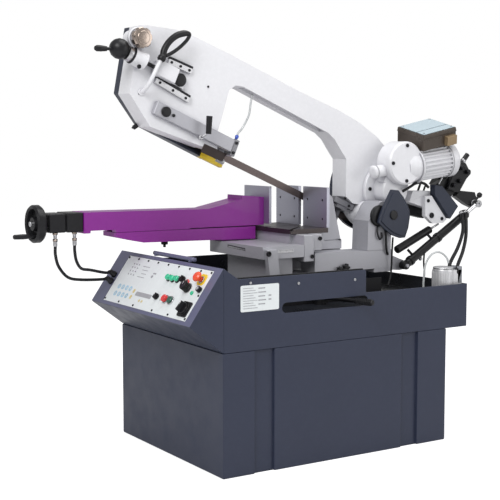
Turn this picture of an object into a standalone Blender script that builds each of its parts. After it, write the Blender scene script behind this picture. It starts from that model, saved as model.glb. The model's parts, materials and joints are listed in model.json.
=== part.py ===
"""Mitre band saw on a sheet-metal base, as separate solids.

Frame: metres, +Z up, origin on the floor under the middle of the base cabinet.
+X runs along the machine from the control console to the saw-bow pivot,
-Y is the long operator side, and the saw band runs in the plane y = BAND_Y.
The saw bow is drawn level (cutting position) and carried by an empty on its
pivot, which is turned to the raised rest position.
"""

import math

import bmesh
import bpy
from mathutils import Matrix, Vector

for leftover in list(bpy.data.objects):
    bpy.data.objects.remove(leftover, do_unlink=True)

# ---------------------------------------------------------------- dimensions
# Two-number places are (x, z), unless noted otherwise.
GAP = 0.0003              # clearance between neighbouring solids
HALF_W = 0.424            # half width of base and tray
BASE_L, BASE_H, BASE_WALL = 1.10, 0.4785, 0.016
TRAY_X0, TRAY_X1 = -0.547, 0.665
TRAY_Z0, TRAY_FLOOR = 0.479, 0.600
STAND_Z = TRAY_FLOOR + GAP    # underside of what stands in the tray
RIM_HIGH, RIM_LOW, RIM_STEP_X = 0.754, 0.662, 0.12
SHEET = 0.007
CONSOLE_TOP = (-0.5475, 0.798)
CONSOLE_NOSE = (-0.693, 0.592)
CONSOLE_FOOT = (-0.5475, 0.480)
TABLE_TOP = 0.900
JAW_BOLT_R = 0.0055
BAND_Y, BAND_W, BAND_T = 0.085, 0.030, 0.0012
WHEEL_R = 0.165           # band wheel rim
BAND_R = 0.1666           # centre line of the band on the wheels
IDLER, DRIVE = (-0.660, 1.080), (0.480, 1.080)
BAND_Z = DRIVE[1] - BAND_R
ON_EDGE = (-0.345, 0.350)     # x stretch where the band stands on edge
BAND_SLOT = (BAND_Y - 0.0018, BAND_Y + 0.0018)   # y of the slot in the guides
PIVOT, PIVOT_R = (0.430, 0.950), 0.025
RAISED_DEG = 23.4
SWIVEL = (0.165, 0.085)       # x, y
SCREW_Y, SCREW_Z = 0.210, 0.943
RAM_X, HANDWHEEL_X = -0.845, -1.024
RAM_Y = (0.150, 0.270)        # width of vise rail and ram
CYL_Y = -0.090
CYL_LOW, CYL_TOP = (0.600, 0.712), (1.030, 0.975)    # lift cylinder eyes, bow raised
COVER_Y = (0.0803, 0.1250)    # depth of the wheel covers
COVER_CAVITY_Y = (0.07, 0.1195)
X_AXIS, Y_AXIS, Z_AXIS = (1, 0, 0), (0, 1, 0), (0, 0, 1)
MINUS_X, MINUS_Y = (-1, 0, 0), (0, -1, 0)


# ---------------------------------------------------------------- materials
def material(name, rgb, roughness, metallic):
    made = bpy.data.materials.new(name)
    made.use_nodes = True
    inputs = made.node_tree.nodes["Principled BSDF"].inputs
    inputs["Base Color"].default_value = (*rgb, 1.0)
    inputs["Roughness"].default_value = roughness
    inputs["Metallic"].default_value = metallic
    made.diffuse_color = (*rgb, 1.0)
    return made


GRAPHITE = material("graphite_paint", rgb=(0.035, 0.042, 0.065), roughness=0.45, metallic=0.1)
CONSOLE = material("console_paint", rgb=(0.13, 0.13, 0.20), roughness=0.45, metallic=0.1)
WHITE = material("white_paint", rgb=(0.86, 0.86, 0.88), roughness=0.40, metallic=0.0)
SHIELD = material("shield_paint", rgb=(0.022, 0.028, 0.045), roughness=0.45, metallic=0.1)
PURPLE = material("purple_paint", rgb=(0.25, 0.022, 0.30), roughness=0.40, metallic=0.0)
CAST = material("machined_cast_iron", rgb=(0.45, 0.45, 0.48), roughness=0.42, metallic=0.7)
JAW = material("ground_steel", rgb=(0.42, 0.42, 0.50), roughness=0.35, metallic=0.85)
TABLE = material("oiled_steel", rgb=(0.07, 0.06, 0.062), roughness=0.42, metallic=0.6)
BRIGHT = material("bright_steel", rgb=(0.70, 0.70, 0.72), roughness=0.25, metallic=1.0)
BAND = material("band_steel", rgb=(0.16, 0.13, 0.125), roughness=0.4, metallic=0.8)
BLACK = material("black_plastic", rgb=(0.012, 0.012, 0.014), roughness=0.4, metallic=0.0)
BLACK_METAL = material("black_metal", rgb=(0.015, 0.015, 0.018), roughness=0.35, metallic=0.5)
YELLOW = material("yellow_paint", rgb=(0.85, 0.60, 0.02), roughness=0.4, metallic=0.0)
PANEL = material("panel_white", rgb=(0.82, 0.84, 0.85), roughness=0.45, metallic=0.0)
ALUMINIUM = material("aluminium", rgb=(0.75, 0.75, 0.77), roughness=0.4, metallic=0.8)
BOX_GREY = material("terminal_box_grey", rgb=(0.16, 0.15, 0.14), roughness=0.4, metallic=0.4)
GREEN = material("green_plastic", rgb=(0.05, 0.55, 0.30), roughness=0.3, metallic=0.0)
DARK_GREEN = material("dark_green_plastic", rgb=(0.01, 0.10, 0.06), roughness=0.3, metallic=0.0)
RED = material("red_plastic", rgb=(0.75, 0.03, 0.03), roughness=0.3, metallic=0.0)
STOP_RED = material("stop_red", rgb=(0.90, 0.10, 0.03), roughness=0.3, metallic=0.0)
BRONZE = material("nickel_bronze", rgb=(0.45, 0.33, 0.25), roughness=0.25, metallic=1.0)


# ---------------------------------------------------------------- mesh tools
def new_object(mesh):
    bmesh.ops.recalc_face_normals(mesh, faces=mesh.faces[:])
    data = bpy.data.meshes.new("piece")
    mesh.to_mesh(data)
    mesh.free()
    ob = bpy.data.objects.new("piece", data)
    bpy.context.scene.collection.objects.link(ob)
    return ob


def prism(outline, low, high, axis="y"):
    """Solid from an (x, z) outline along Y, or from an (x, y) outline along Z."""
    def point(p, depth):
        return (p[0], depth, p[1]) if axis == "y" else (p[0], p[1], depth)

    mesh = bmesh.new()
    start = [mesh.verts.new(point(p, low)) for p in outline]
    end = [mesh.verts.new(point(p, high)) for p in outline]
    mesh.faces.new(start)
    mesh.faces.new(end[::-1])
    for i in range(len(start)):
        n = (i + 1) % len(start)
        mesh.faces.new((start[i], end[i], end[n], start[n]))
    return new_object(mesh)


def box(x0, x1, y0, y1, z0, z1):
    return prism([(x0, z0), (x1, z0), (x1, z1), (x0, z1)], y0, y1)


def rounded_box(x0, x1, y0, y1, z0, z1, radius, seg):
    ob = box(x0, x1, y0, y1, z0, z1)
    mesh = bmesh.new()
    mesh.from_mesh(ob.data)
    bmesh.ops.bevel(mesh, geom=mesh.edges[:], offset=radius, segments=seg, profile=0.5,
                    affect="EDGES")
    bmesh.ops.recalc_face_normals(mesh, faces=mesh.faces[:])
    mesh.to_mesh(ob.data)
    mesh.free()
    return ob


def hexahedron(corners):
    """Six-sided block: four corners round one face, then the four opposite them."""
    mesh = bmesh.new()
    verts = [mesh.verts.new(p) for p in corners]
    for face in ((0, 1, 2, 3), (4, 5, 6, 7), (0, 1, 5, 4), (1, 2, 6, 5), (2, 3, 7, 6), (3, 0, 4, 7)):
        mesh.faces.new([verts[i] for i in face])
    return new_object(mesh)


def skin(rings, closed=False):
    """Surface through rings of points, capped at both ends unless it closes on itself.

    A ring of one point is a tip.
    """
    mesh = bmesh.new()
    loops = [[mesh.verts.new(p) for p in ring] for ring in rings]
    following = loops[1:] + loops[:1] if closed else loops[1:]
    for here, there in zip(loops, following):
        count = max(len(here), len(there))
        for k in range(count):
            n = (k + 1) % count
            if len(here) == 1:
                mesh.faces.new((here[0], there[k], there[n]))
            elif len(there) == 1:
                mesh.faces.new((here[k], here[n], there[0]))
            else:
                mesh.faces.new((here[k], here[n], there[n], there[k]))
    if not closed:
        for loop in (loops[0][::-1], loops[-1]):
            if len(loop) > 1:
                mesh.faces.new(loop)
    return new_object(mesh)


def frame_of(direction):
    """Two unit vectors square to a direction, and the unit direction."""
    along = Vector(direction).normalized()
    side = Vector((0, 0, 1)) if abs(along.z) < 0.9 else Vector((1, 0, 0))
    across = side.cross(along).normalized()
    return across, along.cross(across).normalized(), along


def circle(centre, across, upward, radius, seg):
    angles = (2 * math.pi * k / seg for k in range(seg))
    return [centre + (across * math.cos(a) + upward * math.sin(a)) * radius for a in angles]


def lathe(profile, origin, direction, seg=32, closed=False):
    """Turned solid from (radius, distance along direction) points.

    A closed profile stays off the axis and gives a ring; an open one gets end caps.
    """
    across, upward, along = frame_of(direction)
    rings = []
    for radius, distance in profile:
        centre = Vector(origin) + along * distance
        rings.append(circle(centre, across, upward, radius, seg) if radius else [centre])
    return skin(rings, closed)


def cylinder(origin, direction, radius, length, seg):
    return lathe([(radius, 0.0), (radius, length)], origin, direction, seg)


def rod(start, end, radius, seg=24):
    reach = Vector(end) - Vector(start)
    return cylinder(start, reach, radius, reach.length, seg)


def at_y(place_xz, y):
    return (place_xz[0], y, place_xz[1])


def rod_y(centre, y0, y1, radius, seg):
    """Round bar parallel to Y through the (x, z) centre."""
    return rod(at_y(centre, y0), at_y(centre, y1), radius, seg)


def sweep(path, radius_at, seg):
    """Round bar along a path; radius_at gives the radius at 0..1 of the path."""
    points = [Vector(p) for p in path]
    last = len(points) - 1
    rings, across = [], None
    for i, point in enumerate(points):
        tangent = (points[min(i + 1, last)] - points[max(i - 1, 0)]).normalized()
        if across is None:
            across = frame_of(tangent)[0]
        across = (across - tangent * across.dot(tangent)).normalized()
        rings.append(circle(point, across, tangent.cross(across), radius_at(i / last), seg))
    return skin(rings)


def bezier(p0, p1, p2, p3, steps):
    out = []
    for k in range(steps + 1):
        t = k / steps
        s = 1 - t
        out.append(tuple(
            s ** 3 * a + 3 * s * s * t * b + 3 * s * t * t * c + t ** 3 * d
            for a, b, c, d in zip(p0, p1, p2, p3)
        ))
    return out


def boolean(base, others, operation):
    """Applies boolean steps in order, cleans the mesh and removes the tools."""
    for other in others:
        step = base.modifiers.new("bool", "BOOLEAN")
        step.operation = operation
        step.solver = "EXACT"
        step.object = other
    graph = bpy.context.evaluated_depsgraph_get()
    data = bpy.data.meshes.new_from_object(base.evaluated_get(graph))
    base.modifiers.clear()
    mesh = bmesh.new()
    mesh.from_mesh(data)
    bmesh.ops.remove_doubles(mesh, verts=mesh.verts[:], dist=2e-5)
    bmesh.ops.dissolve_degenerate(mesh, edges=mesh.edges[:], dist=1e-5)
    mesh.to_mesh(data)
    mesh.free()
    base.data = data
    for other in others:
        bpy.data.objects.remove(other, do_unlink=True)
    return base


def fuse(first, *others):
    return boolean(first, others, "UNION")


def cut(base, *cutters):
    return boolean(base, cutters, "DIFFERENCE")


def inset(outline, distance):
    """Outline moved inwards by a distance, whichever way it runs."""
    area = sum(a[0] * b[1] - b[0] * a[1] for a, b in zip(outline, outline[1:] + outline[:1]))
    sign = 1.0 if area > 0 else -1.0
    out = []
    for i in range(len(outline)):
        before, corner = Vector(outline[i - 1]), Vector(outline[i])
        after = Vector(outline[(i + 1) % len(outline)])
        edge_in, edge_out = (corner - before).normalized(), (after - corner).normalized()
        normal_in = Vector((-edge_in.y, edge_in.x)) * sign
        normal_out = Vector((-edge_out.y, edge_out.x)) * sign
        mitre = normal_in + normal_out
        mitre = mitre / max(mitre.length_squared, 1e-9) * 2
        out.append(tuple(corner + mitre * distance))
    return out


def polar(centre, radius, angle):
    return (centre[0] + radius * math.cos(angle), centre[1] + radius * math.sin(angle))


def arc(centre, radius, start, end, steps):
    """Points on an arc, angles in degrees."""
    return [polar(centre, radius, math.radians(start + (end - start) * k / steps))
            for k in range(steps + 1)]


# ------------------------------------------------------- carriers and placing
def empty(name, at, parent=None, turn=0.0):
    """Carrier at a world place, which it keeps in its "at" property."""
    carrier = bpy.data.objects.new(name, None)
    bpy.context.scene.collection.objects.link(carrier)
    carrier.location = Vector(at) - (Vector(parent["at"]) if parent else Vector((0, 0, 0)))
    carrier.rotation_euler = (0, turn, 0)
    carrier["at"] = tuple(at)
    if parent:
        carrier.parent = parent
    return carrier


def place(ob, name, finish, parent=None, at=(0, 0, 0), sharp_deg=28):
    """Names a piece, puts its origin at `at` and hangs it on its carrier."""
    ob.name = name
    ob.data.name = name
    ob.data.transform(Matrix.Translation(-Vector(at)))
    base = Vector(parent["at"]) if parent else Vector((0, 0, 0))
    ob.location = Vector(at) - base
    if parent:
        ob.parent = parent
    ob.data.materials.clear()
    ob.data.materials.append(finish)
    ob.data.shade_smooth()
    ob.data.set_sharp_from_angle(angle=math.radians(sharp_deg))


def screw_at(x):
    """Point on the vise leadscrew axis."""
    return (x, SCREW_Y, SCREW_Z)


swivel = empty("swivel_axis", (*SWIVEL, 0.70))
bow = empty("bow_pivot_axis", at_y(PIVOT, 0.0), swivel, math.radians(RAISED_DEG))
vise = empty("vise_ram_axis", screw_at(RAM_X))
lift = empty("cylinder_axis", at_y(CYL_LOW, CYL_Y), swivel)


# ------------------------------------------------------------------ the base
def base_cabinet():
    half_l, inner_w = BASE_L / 2, HALF_W - BASE_WALL
    grooves = []   # upright grooves in both long sides
    for x0, x1 in ((-0.410, -0.320), (0.310, 0.395)):
        for s in (-1, 1):
            y0, y1 = sorted((s * (HALF_W - 0.012), s * (HALF_W + 0.01)))
            grooves.append(box(x0, x1, y0, y1, -0.010, BASE_H + 0.010))
    cavity = box(-half_l + BASE_WALL, half_l - BASE_WALL, -inner_w, inner_w, -0.01, BASE_H - 0.006)
    cabinet = cut(box(-half_l, half_l, -HALF_W, HALF_W, 0.0, BASE_H), *grooves, cavity)
    place(cabinet, "base_cabinet", GRAPHITE)


def chip_tray():
    side = [
        (TRAY_X0, TRAY_Z0), (TRAY_X1, TRAY_Z0), (TRAY_X1, RIM_LOW), (RIM_STEP_X + 0.004, RIM_LOW),
        (RIM_STEP_X, RIM_LOW + 0.004), (RIM_STEP_X, RIM_HIGH - 0.006),
        (RIM_STEP_X - 0.006, RIM_HIGH), (-0.482, RIM_HIGH), (TRAY_X0, CONSOLE_TOP[1]),
    ]
    # slot with rounded ends in the operator side
    radius, slot_z = 0.02, 0.63
    slot_x0, slot_x1 = -0.266, 0.11     # centres of the round ends
    slot = [(slot_x0, slot_z - radius), (slot_x1, slot_z - radius)]
    slot += arc((slot_x1, slot_z), radius, -75, 75, 5)
    slot += [(slot_x1, slot_z + radius), (slot_x0, slot_z + radius)]
    slot += arc((slot_x0, slot_z), radius, 105, 255, 5)
    x0, x1, half_w = TRAY_X0 + SHEET, TRAY_X1 - SHEET, HALF_W - SHEET
    tray = cut(
        prism(side, -HALF_W, HALF_W),
        box(x0, x1, -half_w, half_w, TRAY_FLOOR, 0.9),
        box(x0, x1, -half_w, half_w, 0.40, TRAY_FLOOR - SHEET),
        prism(slot, -HALF_W - 0.01, -HALF_W + 0.02),
    )
    place(tray, "chip_tray", GRAPHITE)


# --------------------------------------------------------------- the console
CONSOLE_OUTLINE = [CONSOLE_TOP, CONSOLE_NOSE, (-0.688, 0.586), CONSOLE_FOOT]
PANEL_RECESS = (0.017, 0.236, -0.372, 0.327)    # distances down the face, then y
PANEL_SEAT = -0.004                             # recess bottom, measured off the face
PANEL_CORNER = Vector(at_y(CONSOLE_TOP, 0))
PANEL_DOWN = Vector((CONSOLE_NOSE[0] - CONSOLE_TOP[0], 0,
                     CONSOLE_NOSE[1] - CONSOLE_TOP[1])).normalized()
PANEL_OUT = Vector((-PANEL_DOWN.z, 0, PANEL_DOWN.x))
if PANEL_OUT.z < 0:
    PANEL_OUT = -PANEL_OUT


def on_panel(down, y, out=0.0):
    """Point at a distance down the sloping face, `out` above it."""
    return PANEL_CORNER + PANEL_DOWN * down + Vector((0, y, 0)) + PANEL_OUT * out


def panel_block(margin, out0, out1):
    """Block over the recess rectangle, drawn in by a margin on all four sides."""
    down0, down1, y0, y1 = PANEL_RECESS
    down0, down1, y0, y1 = down0 + margin, down1 - margin, y0 + margin, y1 - margin
    return hexahedron([on_panel(down, y, out) for out in (out0, out1)
                       for down, y in ((down0, y0), (down1, y0), (down1, y1), (down0, y1))])


def control_console():
    """Wedge housing, open towards the tray, with a recess for the panel."""
    cavity = inset(CONSOLE_OUTLINE, 0.006)[:3] + [(-0.52, 0.52), (-0.52, 0.77)]
    console = cut(prism(CONSOLE_OUTLINE, -HALF_W, HALF_W),
                  prism(cavity, -HALF_W + SHEET, HALF_W - SHEET))
    console = cut(console, panel_block(0.0, PANEL_SEAT, 0.02), panel_block(SHEET, -0.03, 0.01))
    place(console, "control_console", CONSOLE)


# Control profiles: (radius, height off the face), stem first
STEM_END = -0.016
GREEN_BUTTON = [(0.0080, STEM_END), (0.0080, 0.006), (0.0118, 0.006), (0.0118, 0.0145),
                (0.0100, 0.0165)]
STOP_BUTTON = [(0.0090, STEM_END), (0.0090, 0.006), (0.0150, 0.006), (0.0150, 0.0150),
               (0.0130, 0.0175), (0.0, 0.0178)]
START_BUTTON = [(0.0090, STEM_END), (0.0090, 0.006), (0.0145, 0.006), (0.0145, 0.0110),
                (0.0125, 0.0130), (0.0, 0.0132)]
MUSHROOM = [(0.0090, STEM_END), (0.0090, 0.012), (0.0140, 0.018), (0.0205, 0.024),
            (0.0200, 0.031), (0.0140, 0.0365), (0.0, 0.0385)]
SPEED_DIAL = [(0.0060, STEM_END), (0.0060, 0.002), (0.0200, 0.002), (0.0200, 0.007),
              (0.0175, 0.009), (0.0168, 0.030), (0.0150, 0.032)]
FEED_KNOB = [(0.0060, STEM_END), (0.0060, 0.002), (0.0120, 0.002), (0.0115, 0.014),
             (0.0100, 0.016)]
SELECTOR = [(0.0060, STEM_END), (0.0060, 0.002), (0.0125, 0.002), (0.0120, 0.008)]
MAIN_SWITCH = [(0.0080, STEM_END), (0.0080, 0.0045), (0.0240, 0.0045), (0.0225, 0.014)]

# name: distance down the face, y, material, profile, segments
CONTROLS = {
    "green_button_right": (0.081, -0.091, GREEN, GREEN_BUTTON, 24),
    "green_button_middle": (0.082, -0.125, GREEN, GREEN_BUTTON, 24),
    "green_button_left": (0.080, -0.160, GREEN, GREEN_BUTTON, 24),
    "mode_selector": (0.076, -0.200, BLACK, SELECTOR, 24),
    "speed_dial": (0.106, -0.266, BLACK, SPEED_DIAL, 28),
    "emergency_stop_button": (0.062, -0.328, STOP_RED, MUSHROOM, 28),
    "feed_knob": (0.103, -0.354, BLACK, FEED_KNOB, 24),
    "pump_selector": (0.169, -0.083, BLACK, SELECTOR, 24),
    "stop_button": (0.170, -0.157, RED, STOP_BUTTON, 24),
    "start_button": (0.170, -0.196, DARK_GREEN, START_BUTTON, 24),
    "main_switch_knob": (0.190, -0.325, BLACK, MAIN_SWITCH, 28),
}
# name: length, height, width, turn in radians
GRIP_BARS = {
    "mode_selector": (0.026, 0.020, 0.009, 0.5),
    "pump_selector": (0.026, 0.018, 0.010, 0.3),
    "main_switch_knob": (0.046, 0.032, 0.014, 0.2),
}


def control_panel():
    holes = []
    for down, y, _, profile, _ in CONTROLS.values():
        radius = profile[0][0] + 0.001
        holes.append(lathe([(radius, -0.02), (radius, 0.02)], on_panel(down, y), PANEL_OUT, 20))
    panel = panel_block(GAP, PANEL_SEAT + GAP, -0.0007)
    place(cut(panel, *holes), "control_panel", PANEL)


def grip_bar(centre, length, height, width, turn):
    """Bar across a knob, narrowing towards its top."""
    lengthwise = (PANEL_DOWN * math.cos(turn) + Vector((0, 1, 0)) * math.sin(turn)).normalized()
    widthwise = PANEL_OUT.cross(lengthwise)
    return hexahedron([
        centre + lengthwise * i * length / 2 * scale + widthwise * j * width / 2 * scale
        + PANEL_OUT * out
        for out, scale in ((0.0045, 1.0), (height, 0.86))
        for i, j in ((-1, -1), (1, -1), (1, 1), (-1, 1))
    ])


def controls():
    for name, (down, y, finish, profile, seg) in CONTROLS.items():
        at = on_panel(down, y)
        knob = lathe(profile, at, PANEL_OUT, seg)
        if name in GRIP_BARS:
            knob = fuse(knob, grip_bar(at, *GRIP_BARS[name]))
        place(knob, name, finish, at=at)


# -------------------------------------------------------- vise bed and table
def vise_bed():
    bed = fuse(
        box(-0.210, -0.006, -0.170, 0.250, 0.790, 0.840),
        box(-0.150, -0.030, -0.120, 0.200, STAND_Z, 0.800),
        box(-0.030, 0.270, -0.058, 0.232, 0.8035, 0.8402),
        box(-0.018, 0.160, -0.080, 0.262, 0.832, 0.8797),
        rounded_box(-0.0050, 0.0450, -0.170, -0.070, 0.7680, 0.8797, 0.003, 1),
        rounded_box(0.0540, 0.1000, -0.150, -0.070, 0.8100, 0.8797, 0.003, 1),
    )
    place(bed, "vise_bed", CAST)
    leg = [(-0.205, 0.830), (-0.155, 0.830), (-0.130, STAND_Z), (-0.175, STAND_Z)]
    place(prism(leg, -0.195, -0.1705), "bed_support_leg", CAST)


def table_plate():
    """Plate with one groove along the band plane and one at 45 degrees."""
    groove_z = (TABLE_TOP - 0.008, TABLE_TOP + 0.01)
    groove_45 = [(0.169, 0.081), (0.161, 0.089), (-0.050, -0.122), (-0.042, -0.130)]
    table = cut(
        box(-0.033, 0.160, -0.110, 0.280, TABLE_TOP - 0.020, TABLE_TOP),
        box(-0.05, 0.17, BAND_Y - 0.006, BAND_Y + 0.006, *groove_z),
        prism(groove_45, *groove_z, axis="z"),
    )
    place(table, "table_plate", TABLE)


def fixed_jaws():
    x0, x1 = 0.1553, 0.1700
    for name, y0, y1 in (("fixed_jaw_near", -0.105, 0.070), ("fixed_jaw_far", 0.105, 0.280)):
        recesses = [rod((x0 - 0.01, y, z), (x0 + 0.006, y, z), JAW_BOLT_R, 16)
                    for y in (y0 + 0.032, y1 - 0.032) for z in (0.935, 1.015)]
        place(cut(box(x0, x1, y0, y1, TABLE_TOP + GAP, 1.070), *recesses), name, JAW)


def jaw_brackets():
    near = [(0.1703, 0.8405), (0.268, 0.8405), (0.223, 1.026), (0.196, 1.050), (0.1703, 1.050)]
    far = [(0.1703, 0.8405), (0.206, 0.8405), (0.200, 1.030), (0.1703, 1.040)]
    place(prism(near, -0.055, 0.050), "jaw_bracket_near", CAST)
    place(prism(far, 0.170, 0.230), "jaw_bracket_far", CAST)


# ---------------------------------------------------------------------- vise
def screw_bore(x0, x1, radius):
    return rod(screw_at(x0), screw_at(x1), radius, 32)


def vise_rail():
    side = [(-0.707, 0.8985), (-0.707, 0.880), (-0.583, 0.853), (-0.250, 0.848),
            (-0.040, 0.845), (-0.040, 0.8985)]
    rail = fuse(prism(side, *RAM_Y), box(-0.200, -0.055, 0.165, 0.245, 0.8403, 0.870))
    place(rail, "vise_rail", PURPLE)


def leadscrew_nut():
    nut = box(-0.450, -0.410, SCREW_Y - 0.022, SCREW_Y + 0.022, 0.8988, 0.960)
    place(cut(nut, screw_bore(-0.50, -0.35, 0.0126)), "leadscrew_nut", BRIGHT)


def vise_ram():
    side = [
        (RAM_X, 0.985), (RAM_X, 0.901), (-0.819, 0.901), (-0.817, 0.911), (-0.709, 0.911),
        (-0.706, 0.9000), (-0.367, 0.9000), (-0.365, 0.9030), (0.004, 0.9030), (0.004, 1.024),
        (-0.108, 1.034), (-0.109, 1.016), (-0.275, 0.981),
    ]
    ram = cut(
        prism(side, *RAM_Y),
        box(-0.800, -0.100, 0.185, 0.235, 0.880, 0.965),
        screw_bore(-0.90, -0.78, 0.0140),
    )
    place(ram, "vise_ram", PURPLE, vise, screw_at(RAM_X))


def movable_jaw_plate():
    x0 = 0.0043
    recesses = [rod((0.010, y, z), (0.02, y, z), JAW_BOLT_R, 16)
                for y in (0.141, 0.278) for z in (0.935, 1.020)]
    jaw = cut(box(x0, 0.0165, 0.109, 0.310, 0.909, 1.071), *recesses)
    place(jaw, "movable_jaw_plate", JAW, vise, screw_at(x0))


def clamp_cylinder():
    x0 = -0.990
    body = fuse(
        rounded_box(x0, -0.920, 0.156, 0.264, 0.908, 0.983, 0.004, 1),
        box(-0.925, -0.910, 0.164, 0.256, 0.914, 0.977),
        rounded_box(-0.9160, -0.8453, 0.155, 0.265, 0.9075, 0.985, 0.004, 1),
    )
    body = cut(body, screw_bore(-1.0, -0.80, 0.0140))
    place(body, "clamp_cylinder", BLACK_METAL, vise, screw_at(x0))


def vise_leadscrew():
    at = screw_at(HANDWHEEL_X)
    profile = [(0.0100, -0.026), (0.0120, -0.022), (0.0120, 0.902), (0.0, 0.904)]
    place(lathe(profile, at, X_AXIS), "vise_leadscrew", BRIGHT, vise, at)


def vise_handwheel():
    x, y, z = at = screw_at(HANDWHEEL_X)
    wheel_profile = [
        (0.0125, -0.016), (0.026, -0.016), (0.030, 0.002), (0.056, 0.008), (0.060, -0.014),
        (0.068, -0.020), (0.075, -0.012), (0.075, 0.010), (0.068, 0.019), (0.058, 0.020),
        (0.026, 0.013), (0.022, 0.028), (0.0125, 0.028),
    ]
    crank_profile = [(0.007, 0.0), (0.006, 0.034), (0.0085, 0.036), (0.0105, 0.066),
                     (0.0095, 0.102), (0.0070, 0.106), (0.0, 0.107)]
    handwheel = fuse(
        lathe(wheel_profile, at, X_AXIS, closed=True),
        lathe(crank_profile, (x + 0.004, y - 0.022, z - 0.046), MINUS_X, 14),
    )
    place(handwheel, "vise_handwheel", BLACK_METAL, vise, at)


# -------------------------------------------------- tray equipment and lever
def coolant_pump():
    profile = [(0.046, 0.0), (0.046, 0.118), (0.043, 0.124), (0.0, 0.1257)]
    pump = fuse(
        lathe(profile, (0.585, -0.360, STAND_Z), Z_AXIS, 36),
        box(0.600, 0.657, -0.400, -0.355, STAND_Z + 0.002, 0.720),
    )
    place(pump, "coolant_pump", ALUMINIUM)


def turntable_base():
    profile = [(0.170, 0.0), (0.170, 0.112), (0.168, 0.1142)]
    place(lathe(profile, (*SWIVEL, STAND_Z), Z_AXIS, 56), "turntable_base", CAST)


def mitre_lock_lever():
    """Upright hub in the tray; the bar runs out through the slot to its grip."""
    start, end = Vector((0.020, -0.250, 0.630)), Vector((0.100, -0.500, 0.630))
    along = (end - start).normalized()
    foot = (start.x, start.y, STAND_Z)
    grip = [(0.0105, 0.0), (0.0125, 0.008), (0.0125, 0.080), (0.010, 0.086), (0.0, 0.087)]
    lever = fuse(
        lathe([(0.025, 0.0), (0.025, 0.042), (0.022, 0.045)], foot, Z_AXIS, 28),
        rod(start, start + along * 0.180, 0.0085, 20),
        lathe(grip, start + along * 0.172, along, 20),
    )
    place(lever, "mitre_lock_lever", BLACK_METAL, at=foot)


# -------------------------------------------------------------- swivel group
def swivel_arm():
    at = (*SWIVEL, 0.7148)
    disc = [(0.163, 0.0), (0.165, 0.002), (0.165, 0.083), (0.163, 0.085)]
    lug = [(0.460, 0.702), (0.585, 0.690), (0.612, 0.693), (0.624, 0.712), (0.612, 0.732),
           (0.585, 0.742), (0.460, 0.792)]
    arm = fuse(
        lathe(disc, at, Z_AXIS, 56),
        box(0.063, 0.250, -0.150, 0.020, 0.7155, 0.7990),
        box(0.240, 0.480, -0.148, -0.030, 0.7160, 0.7950),
        box(0.380, 0.4795, -0.147, -0.031, 0.7000, 0.7400),
        prism(lug, -0.0690, -0.0450),
        rod_y(CYL_LOW, -0.060, -0.1120, 0.0080, 32),    # lift cylinder pin
    )
    place(arm, "swivel_arm", CAST, swivel, at)


def pivot_column():
    foot_z = 0.7953
    side = [(0.340, foot_z), (0.470, foot_z), (0.470, 0.860)]
    side += arc(PIVOT, 0.058, -30, 118, 12) + [(0.345, 0.925)]
    column = cut(prism(side, -0.150, -0.040), rod_y(PIVOT, -0.2, 0.0, PIVOT_R + 0.0004, 64))
    place(column, "pivot_column", CAST, swivel, (PIVOT[0], -0.095, foot_z))


def pivot_shaft():
    at = at_y(PIVOT, -0.168)
    profile = [(0.0220, 0.0), (PIVOT_R, 0.003), (PIVOT_R, 0.208)]
    place(lathe(profile, at, Y_AXIS, 64), "pivot_shaft", BRIGHT, swivel, at)


def pivot_guard():
    fin = [
        (0.445, 1.058), (0.482, 1.054), (0.510, 1.026), (0.534, 0.991), (0.546, 0.965),
        (0.549, 0.937), (0.541, 0.889), (0.523, 0.847), (0.494, 0.846), (0.449, 0.861),
        (0.408, 0.889), (0.374, 0.918), (0.383, 0.946), (0.400, 0.983),
    ]
    guard = fuse(prism(fin, -0.182, -0.1703), prism(inset(fin, 0.012), -0.187, -0.175))
    place(guard, "pivot_guard", SHIELD, swivel, at_y(PIVOT, -0.178))


# ----------------------------------------------------------- the saw bow
BOW_OUTLINE = [
    (-0.884, 1.211), (-0.850, 1.226), (-0.740, 1.263), (-0.654, 1.275), (-0.479, 1.283),
    (-0.104, 1.289), (0.118, 1.301), (0.239, 1.298), (0.358, 1.279), (0.403, 1.262),
    (0.470, 1.235), (0.550, 1.190), (0.600, 1.130), (0.610, 1.060), (0.575, 1.010),
    (0.500, 0.990), (0.454, 0.985), (0.347, 0.962), (0.300, 0.975), (0.236, 1.125),
    (0.192, 1.149), (0.144, 1.178), (0.100, 1.190), (-0.370, 1.190), (-0.405, 1.178),
    (-0.425, 1.150), (-0.413, 1.031), (-0.408, 0.957), (-0.378, 0.900), (-0.462, 0.889),
    (-0.697, 0.868), (-0.828, 0.950), (-0.856, 1.077),
]
# recess round the idler wheel
NOSE_POCKET = [
    (-0.866, 1.196), (-0.845, 1.212), (-0.738, 1.249), (-0.652, 1.261), (-0.450, 1.261),
    (-0.445, 1.225), (-0.437, 1.150), (-0.425, 1.031), (-0.420, 0.960), (-0.405, 0.912),
    (-0.462, 0.901), (-0.693, 0.881), (-0.817, 0.957), (-0.845, 1.079),
]


def left_band_exit():
    """Cutter for the band's way out towards the left guide."""
    return box(-0.500, -0.300, 0.060, 0.105, 0.893, 0.937)


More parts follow.
